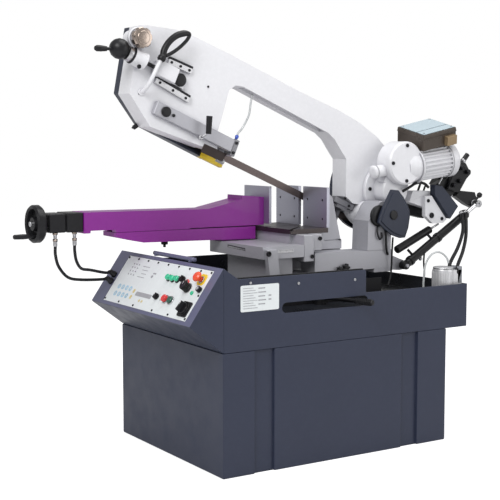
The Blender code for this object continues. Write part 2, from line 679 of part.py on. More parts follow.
def bow_casting():
    casting = fuse(
        prism(BOW_OUTLINE, -0.020, 0.080),
        cylinder(at_y(DRIVE, 0.030), Y_AXIS, 0.188, 0.0498, 72),
        cylinder(at_y(PIVOT, -0.0385), Y_AXIS, 0.055, 0.083, 48),
        cylinder((-0.885, -0.050, 1.080), X_AXIS, 0.034, 0.055, 36),     # tension screw boss
        box(-0.868, -0.832, -0.060, 0.010, 1.058, 1.102),
        cylinder((-0.890, -0.060, 1.150), Y_AXIS, 0.035, 0.070, 36),     # lock knob boss
    )
    slide_x0, slide_x1 = IDLER[0] - 0.019, IDLER[0] + 0.031
    casting = cut(
        casting,
        prism(NOSE_POCKET, 0.045, 0.10),
        box(-0.460, 0.460, 0.0455, 0.10, 1.232, 1.2615),            # upper band channel
        rod_y(DRIVE, 0.0450, 0.10, 0.178, 72),                      # drive wheel pocket
        box(-0.360, 0.090, -0.008, 0.036, 1.10, 1.212),
        rod_y(PIVOT, -0.1, 0.1, PIVOT_R + 0.0006, 64),
        rod_y(DRIVE, -0.1, 0.1, 0.0225, 40),
        box(slide_x0, slide_x1, -0.10, 0.07, 1.062, 1.098),         # idler axle slot
        left_band_exit(),
        box(0.2785, 0.4815, 0.0590, 0.110, 0.8925, 0.9390),
        rod((-0.90, -0.050, 1.080), (-0.78, -0.050, 1.080), 0.0090, 32),
    )
    place(casting, "bow_casting", WHITE, bow, at_y(PIVOT, 0.0))


def wheel_cover(outline, cavity, exit_cutter):
    """Shell open towards -Y, pierced for the lower and the upper run of the band."""
    return cut(prism(outline, *COVER_Y), prism(cavity, *COVER_CAVITY_Y), exit_cutter,
               box(-0.460, -0.420, 0.060, 0.1190, 1.232, 1.262))


def idler_wheel_cover():
    outline = BOW_OUTLINE[:4] + [
        (-0.440, 1.2835), (-0.440, 1.190), (-0.430, 1.150), (-0.430, 0.965), (-0.335, 0.932),
        (-0.335, 0.923), (-0.360, 0.871), (-0.694, 0.877), (-0.828, 0.955), (-0.856, 1.077),
    ]
    cavity = [
        (-0.870, 1.202), (-0.845, 1.214), (-0.738, 1.252), (-0.652, 1.264), (-0.448, 1.272),
        (-0.448, 1.190), (-0.438, 1.150), (-0.438, 0.957), (-0.370, 0.934), (-0.366, 0.880),
        (-0.692, 0.886), (-0.820, 0.960), (-0.846, 1.080),
    ]
    cover = wheel_cover(outline, cavity, left_band_exit())
    place(cover, "idler_wheel_cover", SHIELD, bow, at_y(IDLER, COVER_Y[0]))


def drive_wheel_cover():
    outline = [(-0.4395, 1.205), (0.330, 1.205)] + arc(DRIVE, 0.190, 141, 450, 48)
    outline += [(0.400, 1.275), (0.240, 1.293), (-0.4395, 1.2835)]
    cavity = [(-0.4315, 1.213), (0.340, 1.213)] + arc(DRIVE, 0.182, 139, 448, 48)
    cavity += [(0.398, 1.267), (0.240, 1.285), (-0.4315, 1.2755)]
    cover = wheel_cover(outline, cavity, box(0.280, 0.480, 0.060, 0.105, 0.880, 0.937))
    place(cover, "drive_wheel_cover", SHIELD, bow, at_y(DRIVE, COVER_Y[0]))


def band_wheel(centre, bore):
    """Flanged wheel with five round holes through its web."""
    flange_r = WHEEL_R + 0.005
    profile = [
        (bore, -0.018), (0.036, -0.018), (0.040, -0.005), (0.143, -0.005), (0.147, -0.0165),
        (WHEEL_R - 0.002, -0.0165), (WHEEL_R, -0.015), (WHEEL_R, 0.0155), (flange_r, 0.0160),
        (flange_r, 0.0180), (0.147, 0.0180), (0.143, 0.005), (0.040, 0.005), (0.036, 0.018),
        (bore, 0.018),
    ]
    wheel = lathe(profile, at_y(centre, BAND_Y), Y_AXIS, 48, closed=True)
    holes = [rod_y(polar(centre, 0.092, 2 * math.pi * (k + 0.5) / 5), 0.0, 0.2, 0.026, 16)
             for k in range(5)]
    return cut(wheel, *holes)


def idler_wheel():
    place(band_wheel(IDLER, 0.0155), "idler_wheel", CAST, bow, at_y(IDLER, BAND_Y))


def drive_wheel():
    """Wheel in one with its shaft and the hexagonal head on the shaft's +Y end."""
    shaft = [(0.0180, 0.0), (0.0200, 0.002), (0.0200, 0.158)]
    head = [(0.024, 0.0), (0.024, 0.008), (0.021, 0.011)]
    wheel = fuse(
        band_wheel(DRIVE, 0.0120),
        lathe(shaft, at_y(DRIVE, -0.060), Y_AXIS, 64),
        lathe(head, at_y(DRIVE, 0.0975), Y_AXIS, 6),
    )
    place(wheel, "drive_wheel", CAST, bow, at_y(DRIVE, BAND_Y))


def saw_band():
    """Endless band: flat on the wheels, turned on edge between the guides."""
    def eased(t):
        return 90 * (3 * t * t - 2 * t ** 3)

    half_turn, twist_steps = 36, 12
    stations = []   # centre (x, z), twist (0 flat, 90 on edge), outward normal, in degrees
    for wheel, start in ((IDLER, 270), (DRIVE, 90)):
        for k in range(half_turn + 1):
            angle = start - 180 * k / half_turn
            stations.append((polar(wheel, BAND_R, math.radians(angle)), 0.0, angle))
    for k in range(1, twist_steps + 1):
        t = k / twist_steps
        x = DRIVE[0] + (ON_EDGE[1] - DRIVE[0]) * t
        stations.append(((x, BAND_Z), eased(t), 270))
    for k in range(twist_steps):
        t = k / twist_steps
        x = ON_EDGE[0] + (IDLER[0] - ON_EDGE[0]) * t
        stations.append(((x, BAND_Z), eased(1 - t), 270))
    rings = []
    across = Vector((0, 1, 0))
    for centre_xz, twist, angle in stations:
        outward = Vector((math.cos(math.radians(angle)), 0, math.sin(math.radians(angle))))
        turn = math.radians(twist)
        wide = across * math.cos(turn) + outward * math.sin(turn)
        thick = outward * math.cos(turn) - across * math.sin(turn)
        centre = Vector(at_y(centre_xz, BAND_Y))
        rings.append([centre + wide * (i * BAND_W / 2) + thick * (j * BAND_T / 2)
                      for i, j in ((-1, -1), (1, -1), (1, 1), (-1, 1))])
    place(skin(rings, closed=True), "saw_band", BAND, bow, (0.0, BAND_Y, BAND_Z), sharp_deg=40)


# -------------------------------------------- tension, guides and bow handle
def tension_block():
    """Block on the -Y side of the bow, in one with the idler axle."""
    block = fuse(
        rounded_box(-0.775, -0.685, -0.070, -0.0208, 1.055, 1.115, 0.004, 2),
        box(-0.700, -0.630, -0.040, -0.0210, 1.058, 1.106),
        rod_y(IDLER, -0.0400, 0.1100, 0.0150, 56),
    )
    block = cut(block, rod((-0.80, -0.050, 1.080), (-0.695, -0.050, 1.080), 0.0090, 32))
    place(block, "tension_block", WHITE, bow, at_y(IDLER, -0.040))


def tension_knob():
    """Ball-shaped knob with its screw and a hanging grip."""
    at = (-0.945, -0.050, 1.080)
    knob = [
        (0.0, -0.040), (0.014, -0.0375), (0.026, -0.030), (0.036, -0.017), (0.040, 0.0),
        (0.037, 0.015), (0.029, 0.027), (0.024, 0.032), (0.024, 0.034), (0.026, 0.036),
        (0.026, 0.0567), (0.0080, 0.0570), (0.0080, 0.243), (0.006, 0.245),
    ]
    grip = [(0.007, 0.0), (0.006, 0.034), (0.0095, 0.038), (0.0120, 0.062), (0.0120, 0.078),
            (0.008, 0.086), (0.0, 0.088)]
    whole = fuse(lathe(knob, at, X_AXIS, 28),
                 lathe(grip, (-0.962, -0.054, 1.070), (-0.918, -0.05, -0.397), 16))
    place(whole, "tension_knob", BLACK_METAL, bow, at)


def guide_bar():
    bar = rounded_box(-0.715, -0.332, -0.045, -0.0205, 0.917, 0.970, 0.002, 1)
    place(bar, "guide_bar", CAST, bow, (-0.5235, -0.033, 0.9435))


def left_blade_guide():
    guide = fuse(
        box(-0.3317, -0.3110, -0.045, 0.010, 0.905, 0.974),
        box(-0.3315, -0.2905, 0.000, 0.115, 0.936, 0.972),
        box(-0.3313, -0.2950, 0.058, BAND_SLOT[0], 0.876, 0.945),
        box(-0.3313, -0.2950, BAND_SLOT[1], 0.112, 0.876, 0.945),
    )
    place(guide, "left_blade_guide", BLACK_METAL, bow, (-0.308, BAND_Y, 0.93))


def blade_guard():
    guard = fuse(
        box(-0.405, -0.2920, 0.0545, 0.0567, 0.862, 0.8745),
        box(-0.4048, -0.3325, 0.0547, 0.0565, 0.870, 0.884),
        box(-0.4045, -0.2925, 0.0550, 0.0780, 0.8622, 0.8644),
    )
    place(guard, "blade_guard", YELLOW, bow, (-0.37, 0.056, 0.878))


def guide_clamp_lever():
    x, z = centre = (-0.460, 0.940)
    hub = [(0.012, 0.0), (0.013, 0.002), (0.013, 0.016), (0.009, 0.018), (0.009, 0.0265)]
    path = [(x, -0.064, z), (x - 0.008, -0.067, z + 0.018), (x - 0.018, -0.071, z + 0.038),
            (x - 0.030, -0.074, z + 0.062)]
    lever = fuse(lathe(hub, at_y(centre, -0.0720), Y_AXIS, 28),
                 sweep(path, lambda t: 0.0065 + 0.0035 * t, 14))
    place(lever, "guide_clamp_lever", BLACK, bow, at_y(centre, -0.0455))


def right_blade_guide():
    """Plate under the neck of the bow, guide block and a plate hanging below it."""
    guide = fuse(
        box(0.260, 0.370, -0.005, 0.0295, 0.936, 0.9605),
        box(0.285, 0.340, 0.0, 0.115, 0.920, 0.950),
        box(0.286, 0.339, 0.056, BAND_SLOT[0], 0.875, 0.930),
        box(0.286, 0.339, BAND_SLOT[1], 0.112, 0.875, 0.930),
        box(0.318, 0.3405, 0.040, 0.0600, 0.847, 0.930),
    )
    guide = cut(guide, box(0.25, 0.36, *BAND_SLOT, 0.80, 0.933))
    place(guide, "right_blade_guide", BLACK_METAL, bow, (0.312, BAND_Y, 0.93))


def bow_handle():
    """Curved stalk and closed grip loop."""
    y = -0.084      # plane of the loop
    foot = (-0.806, 0.986)
    stalk = bezier(at_y(foot, -0.0270), (-0.806, -0.070, 0.992), (-0.808, y - 0.006, 1.050),
                   (-0.791, y, 1.124), 10)
    loop = bezier((-0.791, y, 1.118), (-0.795, y, 1.180), (-0.765, y, 1.275),
                  (-0.716, y, 1.278), 9)
    loop += bezier((-0.716, y, 1.278), (-0.680, y, 1.276), (-0.706, y, 1.190),
                   (-0.782, y, 1.132), 9)[1:]
    handle = fuse(
        sweep(stalk, lambda t: 0.0085, 14),
        sweep(loop, lambda t: 0.0100 + 0.0035 * math.sin(math.pi * t), 14),
        rod_y(foot, -0.0203, -0.0330, 0.013, 20),
    )
    place(handle, "bow_handle", BLACK, bow, at_y(foot, -0.0203))


def lock_knob():
    """Knob with seven finger hollows round its edge."""
    centre = (-0.890, 1.150)
    at = at_y(centre, -0.0603)
    profile = [(0.014, 0.0), (0.014, 0.005), (0.037, 0.007), (0.040, 0.011), (0.040, 0.033),
               (0.036, 0.038), (0.020, 0.040)]
    hollows = [rod_y(polar(centre, 0.0440, 2 * math.pi * k / 7), -0.063, -0.12, 0.0100, 14)
               for k in range(7)]
    place(cut(lathe(profile, at, MINUS_Y, 48), *hollows), "lock_knob", BRONZE, bow, at)


# ------------------------------------------- drive: gearbox, motor, terminal box
MOTOR_START, MOTOR_END = Vector((0.530, -0.100, 1.220)), Vector((0.722, -0.100, 1.3325))
MOTOR_DIR = (MOTOR_END - MOTOR_START).normalized()
# terminal box lid: corners in order round the top, and box height below it
LID = [Vector((0.458, -0.020, 1.379)), Vector((0.615, -0.020, 1.489)),
       Vector((0.607, -0.185, 1.434)), Vector((0.453, -0.185, 1.325))]
BOX_H = 0.0725
LID_CENTRE = (LID[0] + LID[1] + LID[2] + LID[3]) / 4
LID_LONG = ((LID[1] - LID[0]) + (LID[2] - LID[3])).normalized()
LID_WIDE = (LID[3] - LID[0]) + (LID[2] - LID[1])
LID_WIDE = (LID_WIDE - LID_LONG * LID_WIDE.dot(LID_LONG)).normalized()
LID_NORMAL = LID_LONG.cross(LID_WIDE)
if LID_NORMAL.z < 0:
    LID_NORMAL = -LID_NORMAL


def gearbox():
    axle = at_y(DRIVE, -0.0205)
    worm_case = [(0.089, 0.0), (0.095, 0.006), (0.095, 0.087), (0.088, 0.095)]
    case = fuse(
        lathe([(0.115, 0.0), (0.115, 0.016), (0.113, 0.018)], axle, MINUS_Y, 64),
        lathe([(0.070, 0.0), (0.070, 0.078), (0.064, 0.084)], at_y(DRIVE, -0.026), MINUS_Y, 48),
        lathe(worm_case, (0.453, -0.060, 1.199), MINUS_Y, 56),
        lathe([(0.060, 0.0), (0.072, 0.030), (0.072, 0.060)],
              MOTOR_START - MOTOR_DIR * 0.0608, MOTOR_DIR, 40),
        rod(MOTOR_START - MOTOR_DIR * 0.21, MOTOR_START - MOTOR_DIR * 0.02, 0.027, 28),
        box(0.405, 0.530, -0.1080, -0.062, 1.090, 1.200),
    )
    case = cut(
        case,
        rod_y(DRIVE, -0.0620, 0.0, 0.0205, 64),
        rod_y(PIVOT, -0.1, 0.0, 0.0560, 48),
        # trims everything past the motor flange
        rod(MOTOR_START - MOTOR_DIR * 0.0004, MOTOR_START + MOTOR_DIR * 0.200, 0.120, 24),
    )
    place(case, "gearbox", WHITE, bow, axle)


def lid_block(half_long, half_wide, low, high, taper=1.0):
    """Block square to the terminal box lid, its heights measured from the lid top."""
    return hexahedron([
        LID_CENTRE + LID_LONG * (half_long * i * scale) + LID_WIDE * (half_wide * j * scale)
        + LID_NORMAL * height
        for height, scale in ((low, 1.0), (high, taper))
        for i, j in ((-1, -1), (1, -1), (1, 1), (-1, 1))
    ])


def drive_motor():
    """Finned body, round end cap and the seat under the terminal box."""
    across, upward, along = frame_of(MOTOR_DIR)
    length = (MOTOR_END - MOTOR_START).length
    corners = 4 * 24    # four points for each of 24 fins
    # distance along the motor, depth between the fins
    stations = ((0.0, 0.0), (0.010, 0.0), (0.0105, 0.006), (length - 0.050, 0.006),
                (length - 0.0495, 0.0), (length - 0.040, 0.0))
    rings = []
    for distance, depth in stations:
        ring = []
        for k in range(corners):
            a = 2 * math.pi * k / corners
            radius = 0.0745 - (depth if (k // 2) % 2 else 0.0)
            ring.append(MOTOR_START + along * distance
                        + (across * math.cos(a) + upward * math.sin(a)) * radius)
        rings.append(ring)
    cap = [(0.0730, 0.0), (0.0770, 0.003), (0.0770, 0.034), (0.069, 0.044), (0.0, 0.046)]
    motor = fuse(
        skin(rings),
        lathe(cap, MOTOR_END - along * 0.045, MOTOR_DIR, 44),
        lid_block(0.052, 0.045, -BOX_H - 0.035, -BOX_H - 0.0004),
    )
    place(motor, "drive_motor", ALUMINIUM, bow, MOTOR_START)


def terminal_box():
    body = fuse(lid_block(0.096, 0.087, -BOX_H, -0.014),
                lid_block(0.098, 0.089, -0.018, 0.0, taper=0.97))
    place(body, "terminal_box", BOX_GREY, bow, LID_CENTRE)


# ------------------------------- rear lever, channel cover and cylinder arm
def rear_lever_arm():
    root = [(0.598, 1.070), (0.598, 1.125), (0.700, 1.165), (0.745, 1.150), (0.720, 1.085)]
    outer = [(0.660, 1.124), (0.694, 1.142), (0.823, 1.076), (0.811, 1.055), (0.752, 1.028),
             (0.697, 1.043)]
    rising = [(0.700, 1.100), (0.760, 1.100), (0.845, 1.190), (0.845, 1.250), (0.790, 1.270),
              (0.715, 1.155)]
    arm = fuse(prism(root, -0.075, -0.0203), prism(outer, -0.095, -0.070),
               prism(rising, -0.055, -0.0345))
    place(arm, "rear_lever_arm", WHITE, bow, (0.60, -0.048, 1.09))


def rear_channel_cover():
    side = [(0.699, 1.147), (0.678, 1.188), (0.723, 1.199), (0.850, 1.152), (0.828, 1.081)]
    place(prism(side, -0.110, -0.0755), "rear_channel_cover", SHIELD, bow, (0.76, -0.09, 1.14))


def hydraulic_block():
    side = [(0.741, 1.215), (0.780, 1.342), (0.849, 1.372), (0.917, 1.339), (0.885, 1.267),
            (0.840, 1.200)]
    block = fuse(prism(side, -0.034, 0.010),
                 rod((0.862, -0.012, 1.350), (0.887, -0.012, 1.423), 0.0115, 20))
    place(block, "hydraulic_block", BLACK_METAL, bow, (0.83, -0.012, 1.28))


def lowered(point):
    """An (x, z) point of the raised bow, given in the level drawing position."""
    a = math.radians(RAISED_DEG)
    dx, dz = point[0] - PIVOT[0], point[1] - PIVOT[1]
    return (PIVOT[0] + dx * math.cos(a) - dz * math.sin(a),
            PIVOT[1] + dx * math.sin(a) + dz * math.cos(a))


def cylinder_arm():
    """Arm over the lift rod eye, with a small ball on a stem."""
    side = [(0.850, 1.200), (0.870, 1.235), (0.955, 1.262), (1.000, 1.220), (0.985, 1.192),
            (0.930, 1.190)]
    ball = [(0.0, 0.0), (0.010, 0.004), (0.0135, 0.0135), (0.010, 0.023), (0.0, 0.027)]
    arm = fuse(
        prism(side, -0.068, -0.0355),
        rod((0.985, -0.050, 1.225), (1.003, -0.050, 1.262), 0.006, 16),
        lathe(ball, (0.9985, -0.050, 1.2535), (0.4, 0, 0.9), 20),
    )
    place(arm, "cylinder_arm", BLACK_METAL, bow, at_y(lowered(CYL_TOP), -0.052))


# --------------------------------------------------------- lifting cylinder
LOW_EYE, TOP_EYE = Vector(at_y(CYL_LOW, CYL_Y)), Vector(at_y(CYL_TOP, CYL_Y))
LIFT_DIR = (TOP_EYE - LOW_EYE).normalized()
LIFT_REACH = (TOP_EYE - LOW_EYE).length


def across_y(centre, y0, y1, radius, seg):
    """Round bar parallel to Y, its ends at y offsets from a centre."""
    return rod(centre + Vector((0, y0, 0)), centre + Vector((0, y1, 0)), radius, seg)


def lift_cylinder():
    profile = [(0.0150, 0.0), (0.0190, 0.004), (0.0190, 0.410), (0.0170, 0.415)]
    barrel = fuse(lathe(profile, LOW_EYE + LIFT_DIR * 0.010, LIFT_DIR),
                  across_y(LOW_EYE, -0.0130, 0.0190, 0.0180, 32))
    barrel = cut(barrel, rod(LOW_EYE + LIFT_DIR * 0.042, TOP_EYE, 0.0104, 32),
                 across_y(LOW_EYE, -0.05, 0.05, 0.0084, 32))
    place(barrel, "lift_cylinder", BLACK_METAL, lift, LOW_EYE)


def lift_rod():
    start = 0.094       # rod start, measured from the low eye
    profile = [(0.0085, 0.0), (0.0100, 0.0015), (0.0100, LIFT_REACH - start - 0.006)]
    piston_rod = fuse(
        lathe(profile, LOW_EYE + LIFT_DIR * start, LIFT_DIR),
        across_y(TOP_EYE, -0.015, 0.015, 0.0165, 32),
        across_y(TOP_EYE, -0.022, 0.0, 0.0085, 6),
    )
    place(piston_rod, "lift_rod", BRIGHT, lift, TOP_EYE)


for build in (
    base_cabinet, chip_tray, control_console, control_panel, controls,
    vise_bed, table_plate, fixed_jaws, jaw_brackets,
    vise_rail, leadscrew_nut, vise_ram, movable_jaw_plate, clamp_cylinder,
    vise_leadscrew, vise_handwheel, coolant_pump, turntable_base, mitre_lock_lever,
    swivel_arm, pivot_column, pivot_shaft, pivot_guard,
    bow_casting, idler_wheel_cover, drive_wheel_cover, idler_wheel, drive_wheel, saw_band,
    tension_block, tension_knob, guide_bar, left_blade_guide, blade_guard,
    guide_clamp_lever, right_blade_guide, bow_handle, lock_knob,
    gearbox, drive_motor, terminal_box,
    rear_lever_arm, rear_channel_cover, hydraulic_block, cylinder_arm,
    lift_cylinder, lift_rod,
):
    build()
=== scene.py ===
"""A metal-cutting band saw on a cabinet base, with its bow raised.

Metres, +Z up. The front is -Y and the left is -X: the sloping control panel is at the left end,
the bow's pivot at the right. Parts of the bow are placed in its level position, then raised.
"""
import json
import math
import random

import bmesh
import bpy
from mathutils import Matrix, Vector


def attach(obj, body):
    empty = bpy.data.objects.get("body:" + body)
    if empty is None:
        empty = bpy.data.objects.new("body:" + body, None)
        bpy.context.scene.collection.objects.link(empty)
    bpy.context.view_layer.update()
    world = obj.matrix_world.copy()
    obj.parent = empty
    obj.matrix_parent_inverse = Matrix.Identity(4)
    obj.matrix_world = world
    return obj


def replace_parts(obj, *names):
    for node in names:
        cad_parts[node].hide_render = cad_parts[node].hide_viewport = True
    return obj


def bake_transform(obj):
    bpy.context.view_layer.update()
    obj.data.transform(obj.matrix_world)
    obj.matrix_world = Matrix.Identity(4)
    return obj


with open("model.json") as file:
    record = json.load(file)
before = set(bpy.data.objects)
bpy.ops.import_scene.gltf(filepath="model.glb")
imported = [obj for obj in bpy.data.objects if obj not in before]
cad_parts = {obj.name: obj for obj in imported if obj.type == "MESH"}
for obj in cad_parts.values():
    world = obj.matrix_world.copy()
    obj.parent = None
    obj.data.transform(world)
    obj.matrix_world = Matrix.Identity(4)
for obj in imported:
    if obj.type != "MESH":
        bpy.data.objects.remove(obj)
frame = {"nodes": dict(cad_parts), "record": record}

random.seed(7)
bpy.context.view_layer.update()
NODES = frame["nodes"]
BODY = {node: body for body, nodes in frame["record"]["behaviour"]["bodies"].items()
        for node in nodes}

LEFT, RIGHT = (-1, 0, 0), (1, 0, 0)
FRONT = (0, -1, 0)
UP, DOWN = (0, 0, 1), (0, 0, -1)

# Turns the bow's level coordinates to its raised rest position.
PIVOT = Vector((0.430, 0.0, 0.950))
BOW_ANGLE = math.radians(23.4)
RAISE_BOW = (Matrix.Translation(PIVOT) @ Matrix.Rotation(BOW_ANGLE, 4, "Y")
             @ Matrix.Translation(-PIVOT))


# ------------------------------------------------------------- shader helpers
def new_material(name):
    """The material, its node tree and the inputs of its main shader."""
    material = bpy.data.materials.new(name)
    material.use_nodes = True
    tree = material.node_tree
    return material, tree, tree.nodes["Principled BSDF"].inputs


def object_coords(tree, stretch=(1, 1, 1)):
    source = tree.nodes.new("ShaderNodeTexCoord")
    mapping = tree.nodes.new("ShaderNodeMapping")
    mapping.inputs["Scale"].default_value = stretch
    tree.links.new(source.outputs["Object"], mapping.inputs["Vector"])
    return mapping.outputs["Vector"]


def noise(tree, vector, scale, detail, roughness=0.5):
    node = tree.nodes.new("ShaderNodeTexNoise")
    node.inputs["Scale"].default_value = scale
    node.inputs["Detail"].default_value = detail
    node.inputs["Roughness"].default_value = roughness
    tree.links.new(vector, node.inputs["Vector"])
    return node.outputs["Fac"]


def remap(tree, value, span, to=(0, 1)):
    """Map the range span of value onto the range to."""
    node = tree.nodes.new("ShaderNodeMapRange")
    for socket, number in zip(("From Min", "From Max", "To Min", "To Max"), (*span, *to)):
        node.inputs[socket].default_value = number
    tree.links.new(value, node.inputs["Value"])
    return node.outputs["Result"]


def mix(tree, factor, first, second):
    """Blend two colours, each an RGB tuple or a socket."""
    node = tree.nodes.new("ShaderNodeMix")
    node.data_type = "RGBA"
    tree.links.new(factor, node.inputs["Factor"])
    for socket, colour in ((node.inputs["A"], first), (node.inputs["B"], second)):
        if isinstance(colour, tuple):
            socket.default_value = (*colour, 1.0)
        else:
            tree.links.new(colour, socket)
    return node.outputs["Result"]


def add_bump(tree, shader, height, strength, distance):
    node = tree.nodes.new("ShaderNodeBump")
    node.inputs["Strength"].default_value = strength
    node.inputs["Distance"].default_value = distance
    tree.links.new(height, node.inputs["Height"])
    tree.links.new(node.outputs["Normal"], shader["Normal"])


def darker(rgb, factor):
    return tuple(c * factor for c in rgb)


# ----------------------------------------------------------- kinds of material
def paint(name, rgb, rough, peel, grain=900.0, metal=0.0, coat=0.0, shade=0.82, spec=0.5,
          recess_shade=None):
    """Sprayed paint with slight tone drift and orange peel.

    shade darkens the drift; the last argument is (reach, colour) and paints shade into recesses,
    found by ambient occlusion, toward that colour.
    """
    material, tree, shader = new_material(name)
    vector = object_coords(tree)
    drift = remap(tree, noise(tree, vector, scale=3.5, detail=5), span=(0.35, 0.7))
    colour = mix(tree, drift, darker(rgb, shade), rgb)
    fine = noise(tree, vector, scale=grain, detail=2)
    mottle = remap(tree, noise(tree, vector, scale=60, detail=6, roughness=0.65),
                   span=(0.45, 0.75), to=(0, 0.22))
    colour = mix(tree, mottle, colour, tuple(min(1, c * 1.18 + 0.01) for c in rgb))
    # Painted shade: ambient occlusion darkens the recesses.
    if recess_shade:
        reach, recess = recess_shade
        occlusion = tree.nodes.new("ShaderNodeAmbientOcclusion")
        occlusion.inputs["Distance"].default_value = reach
        openness = remap(tree, occlusion.outputs["AO"], span=(0.25, 0.85))
        colour = mix(tree, openness, recess, colour)
    shader["Specular IOR Level"].default_value = spec
    tree.links.new(colour, shader["Base Color"])
    gloss = remap(tree, noise(tree, vector, scale=14, detail=5),
                  span=(0.3, 0.7), to=(rough - 0.06, rough + 0.09))
    tree.links.new(gloss, shader["Roughness"])
    shader["Metallic"].default_value = metal
    shader["Coat Weight"].default_value = coat
    add_bump(tree, shader, fine, strength=peel, distance=0.0004)
    return material


def steel(name, rgb, rough, scale, depth, stretch=(1, 1, 1), metal=1.0, stain=0.25):
    """Ground or turned metal: stretched tool marks, faint oil stains."""
    material, tree, shader = new_material(name)
    marks = noise(tree, object_coords(tree, stretch), scale=scale, detail=5, roughness=0.6)
    vector = object_coords(tree)
    colour = mix(tree, remap(tree, marks, span=(0.3, 0.7)), darker(rgb, 0.80), rgb)
    oil = remap(tree, noise(tree, vector, scale=9, detail=6, roughness=0.6),
                span=(0.55, 0.85), to=(0, stain))
    colour = mix(tree, oil, colour, (0.10, 0.08, 0.07))
    tree.links.new(colour, shader["Base Color"])
    shader["Metallic"].default_value = metal
    gloss = remap(tree, marks, span=(0.3, 0.7), to=(rough - 0.06, rough + 0.12))
    tree.links.new(gloss, shader["Roughness"])
    add_bump(tree, shader, marks, strength=depth, distance=0.0003)
    return material


def cast_iron(name, rgb, rough, depth, metal):
    """Sand-cast skin: coarse pitting over a fine grain."""
    material, tree, shader = new_material(name)
    vector = object_coords(tree)
    grain = noise(tree, vector, scale=420, detail=8, roughness=0.7)
    patches = noise(tree, vector, scale=30, detail=6, roughness=0.6)
    colour = mix(tree, remap(tree, patches, span=(0.35, 0.7)), darker(rgb, 0.78), rgb)
    tree.links.new(colour, shader["Base Color"])
    shader["Metallic"].default_value = metal
    gloss = remap(tree, grain, span=(0.3, 0.7), to=(rough - 0.08, rough + 0.1))
    tree.links.new(gloss, shader["Roughness"])
    add_bump(tree, shader, grain, strength=depth, distance=0.0006)
    return material


def plastic(name, rgb, rough, grain=1500.0, depth=0.12, coat=0.0, emit=0.0, spec=0.5):
    """Moulded plastic with a fine spark-eroded grain."""
    material, tree, shader = new_material(name)
    vector = object_coords(tree)
    fine = noise(tree, vector, scale=grain, detail=3)
    drift = remap(tree, noise(tree, vector, scale=40, detail=4), span=(0.35, 0.7))
    tree.links.new(mix(tree, drift, darker(rgb, 0.82), rgb), shader["Base Color"])
    gloss = remap(tree, fine, span=(0.3, 0.7), to=(rough - 0.05, rough + 0.08))
    tree.links.new(gloss, shader["Roughness"])
    shader["Coat Weight"].default_value = coat
    shader["Specular IOR Level"].default_value = spec
    if emit:
        shader["Emission Color"].default_value = (*rgb, 1)
        shader["Emission Strength"].default_value = emit
    add_bump(tree, shader, fine, strength=depth, distance=0.0002)
    return material


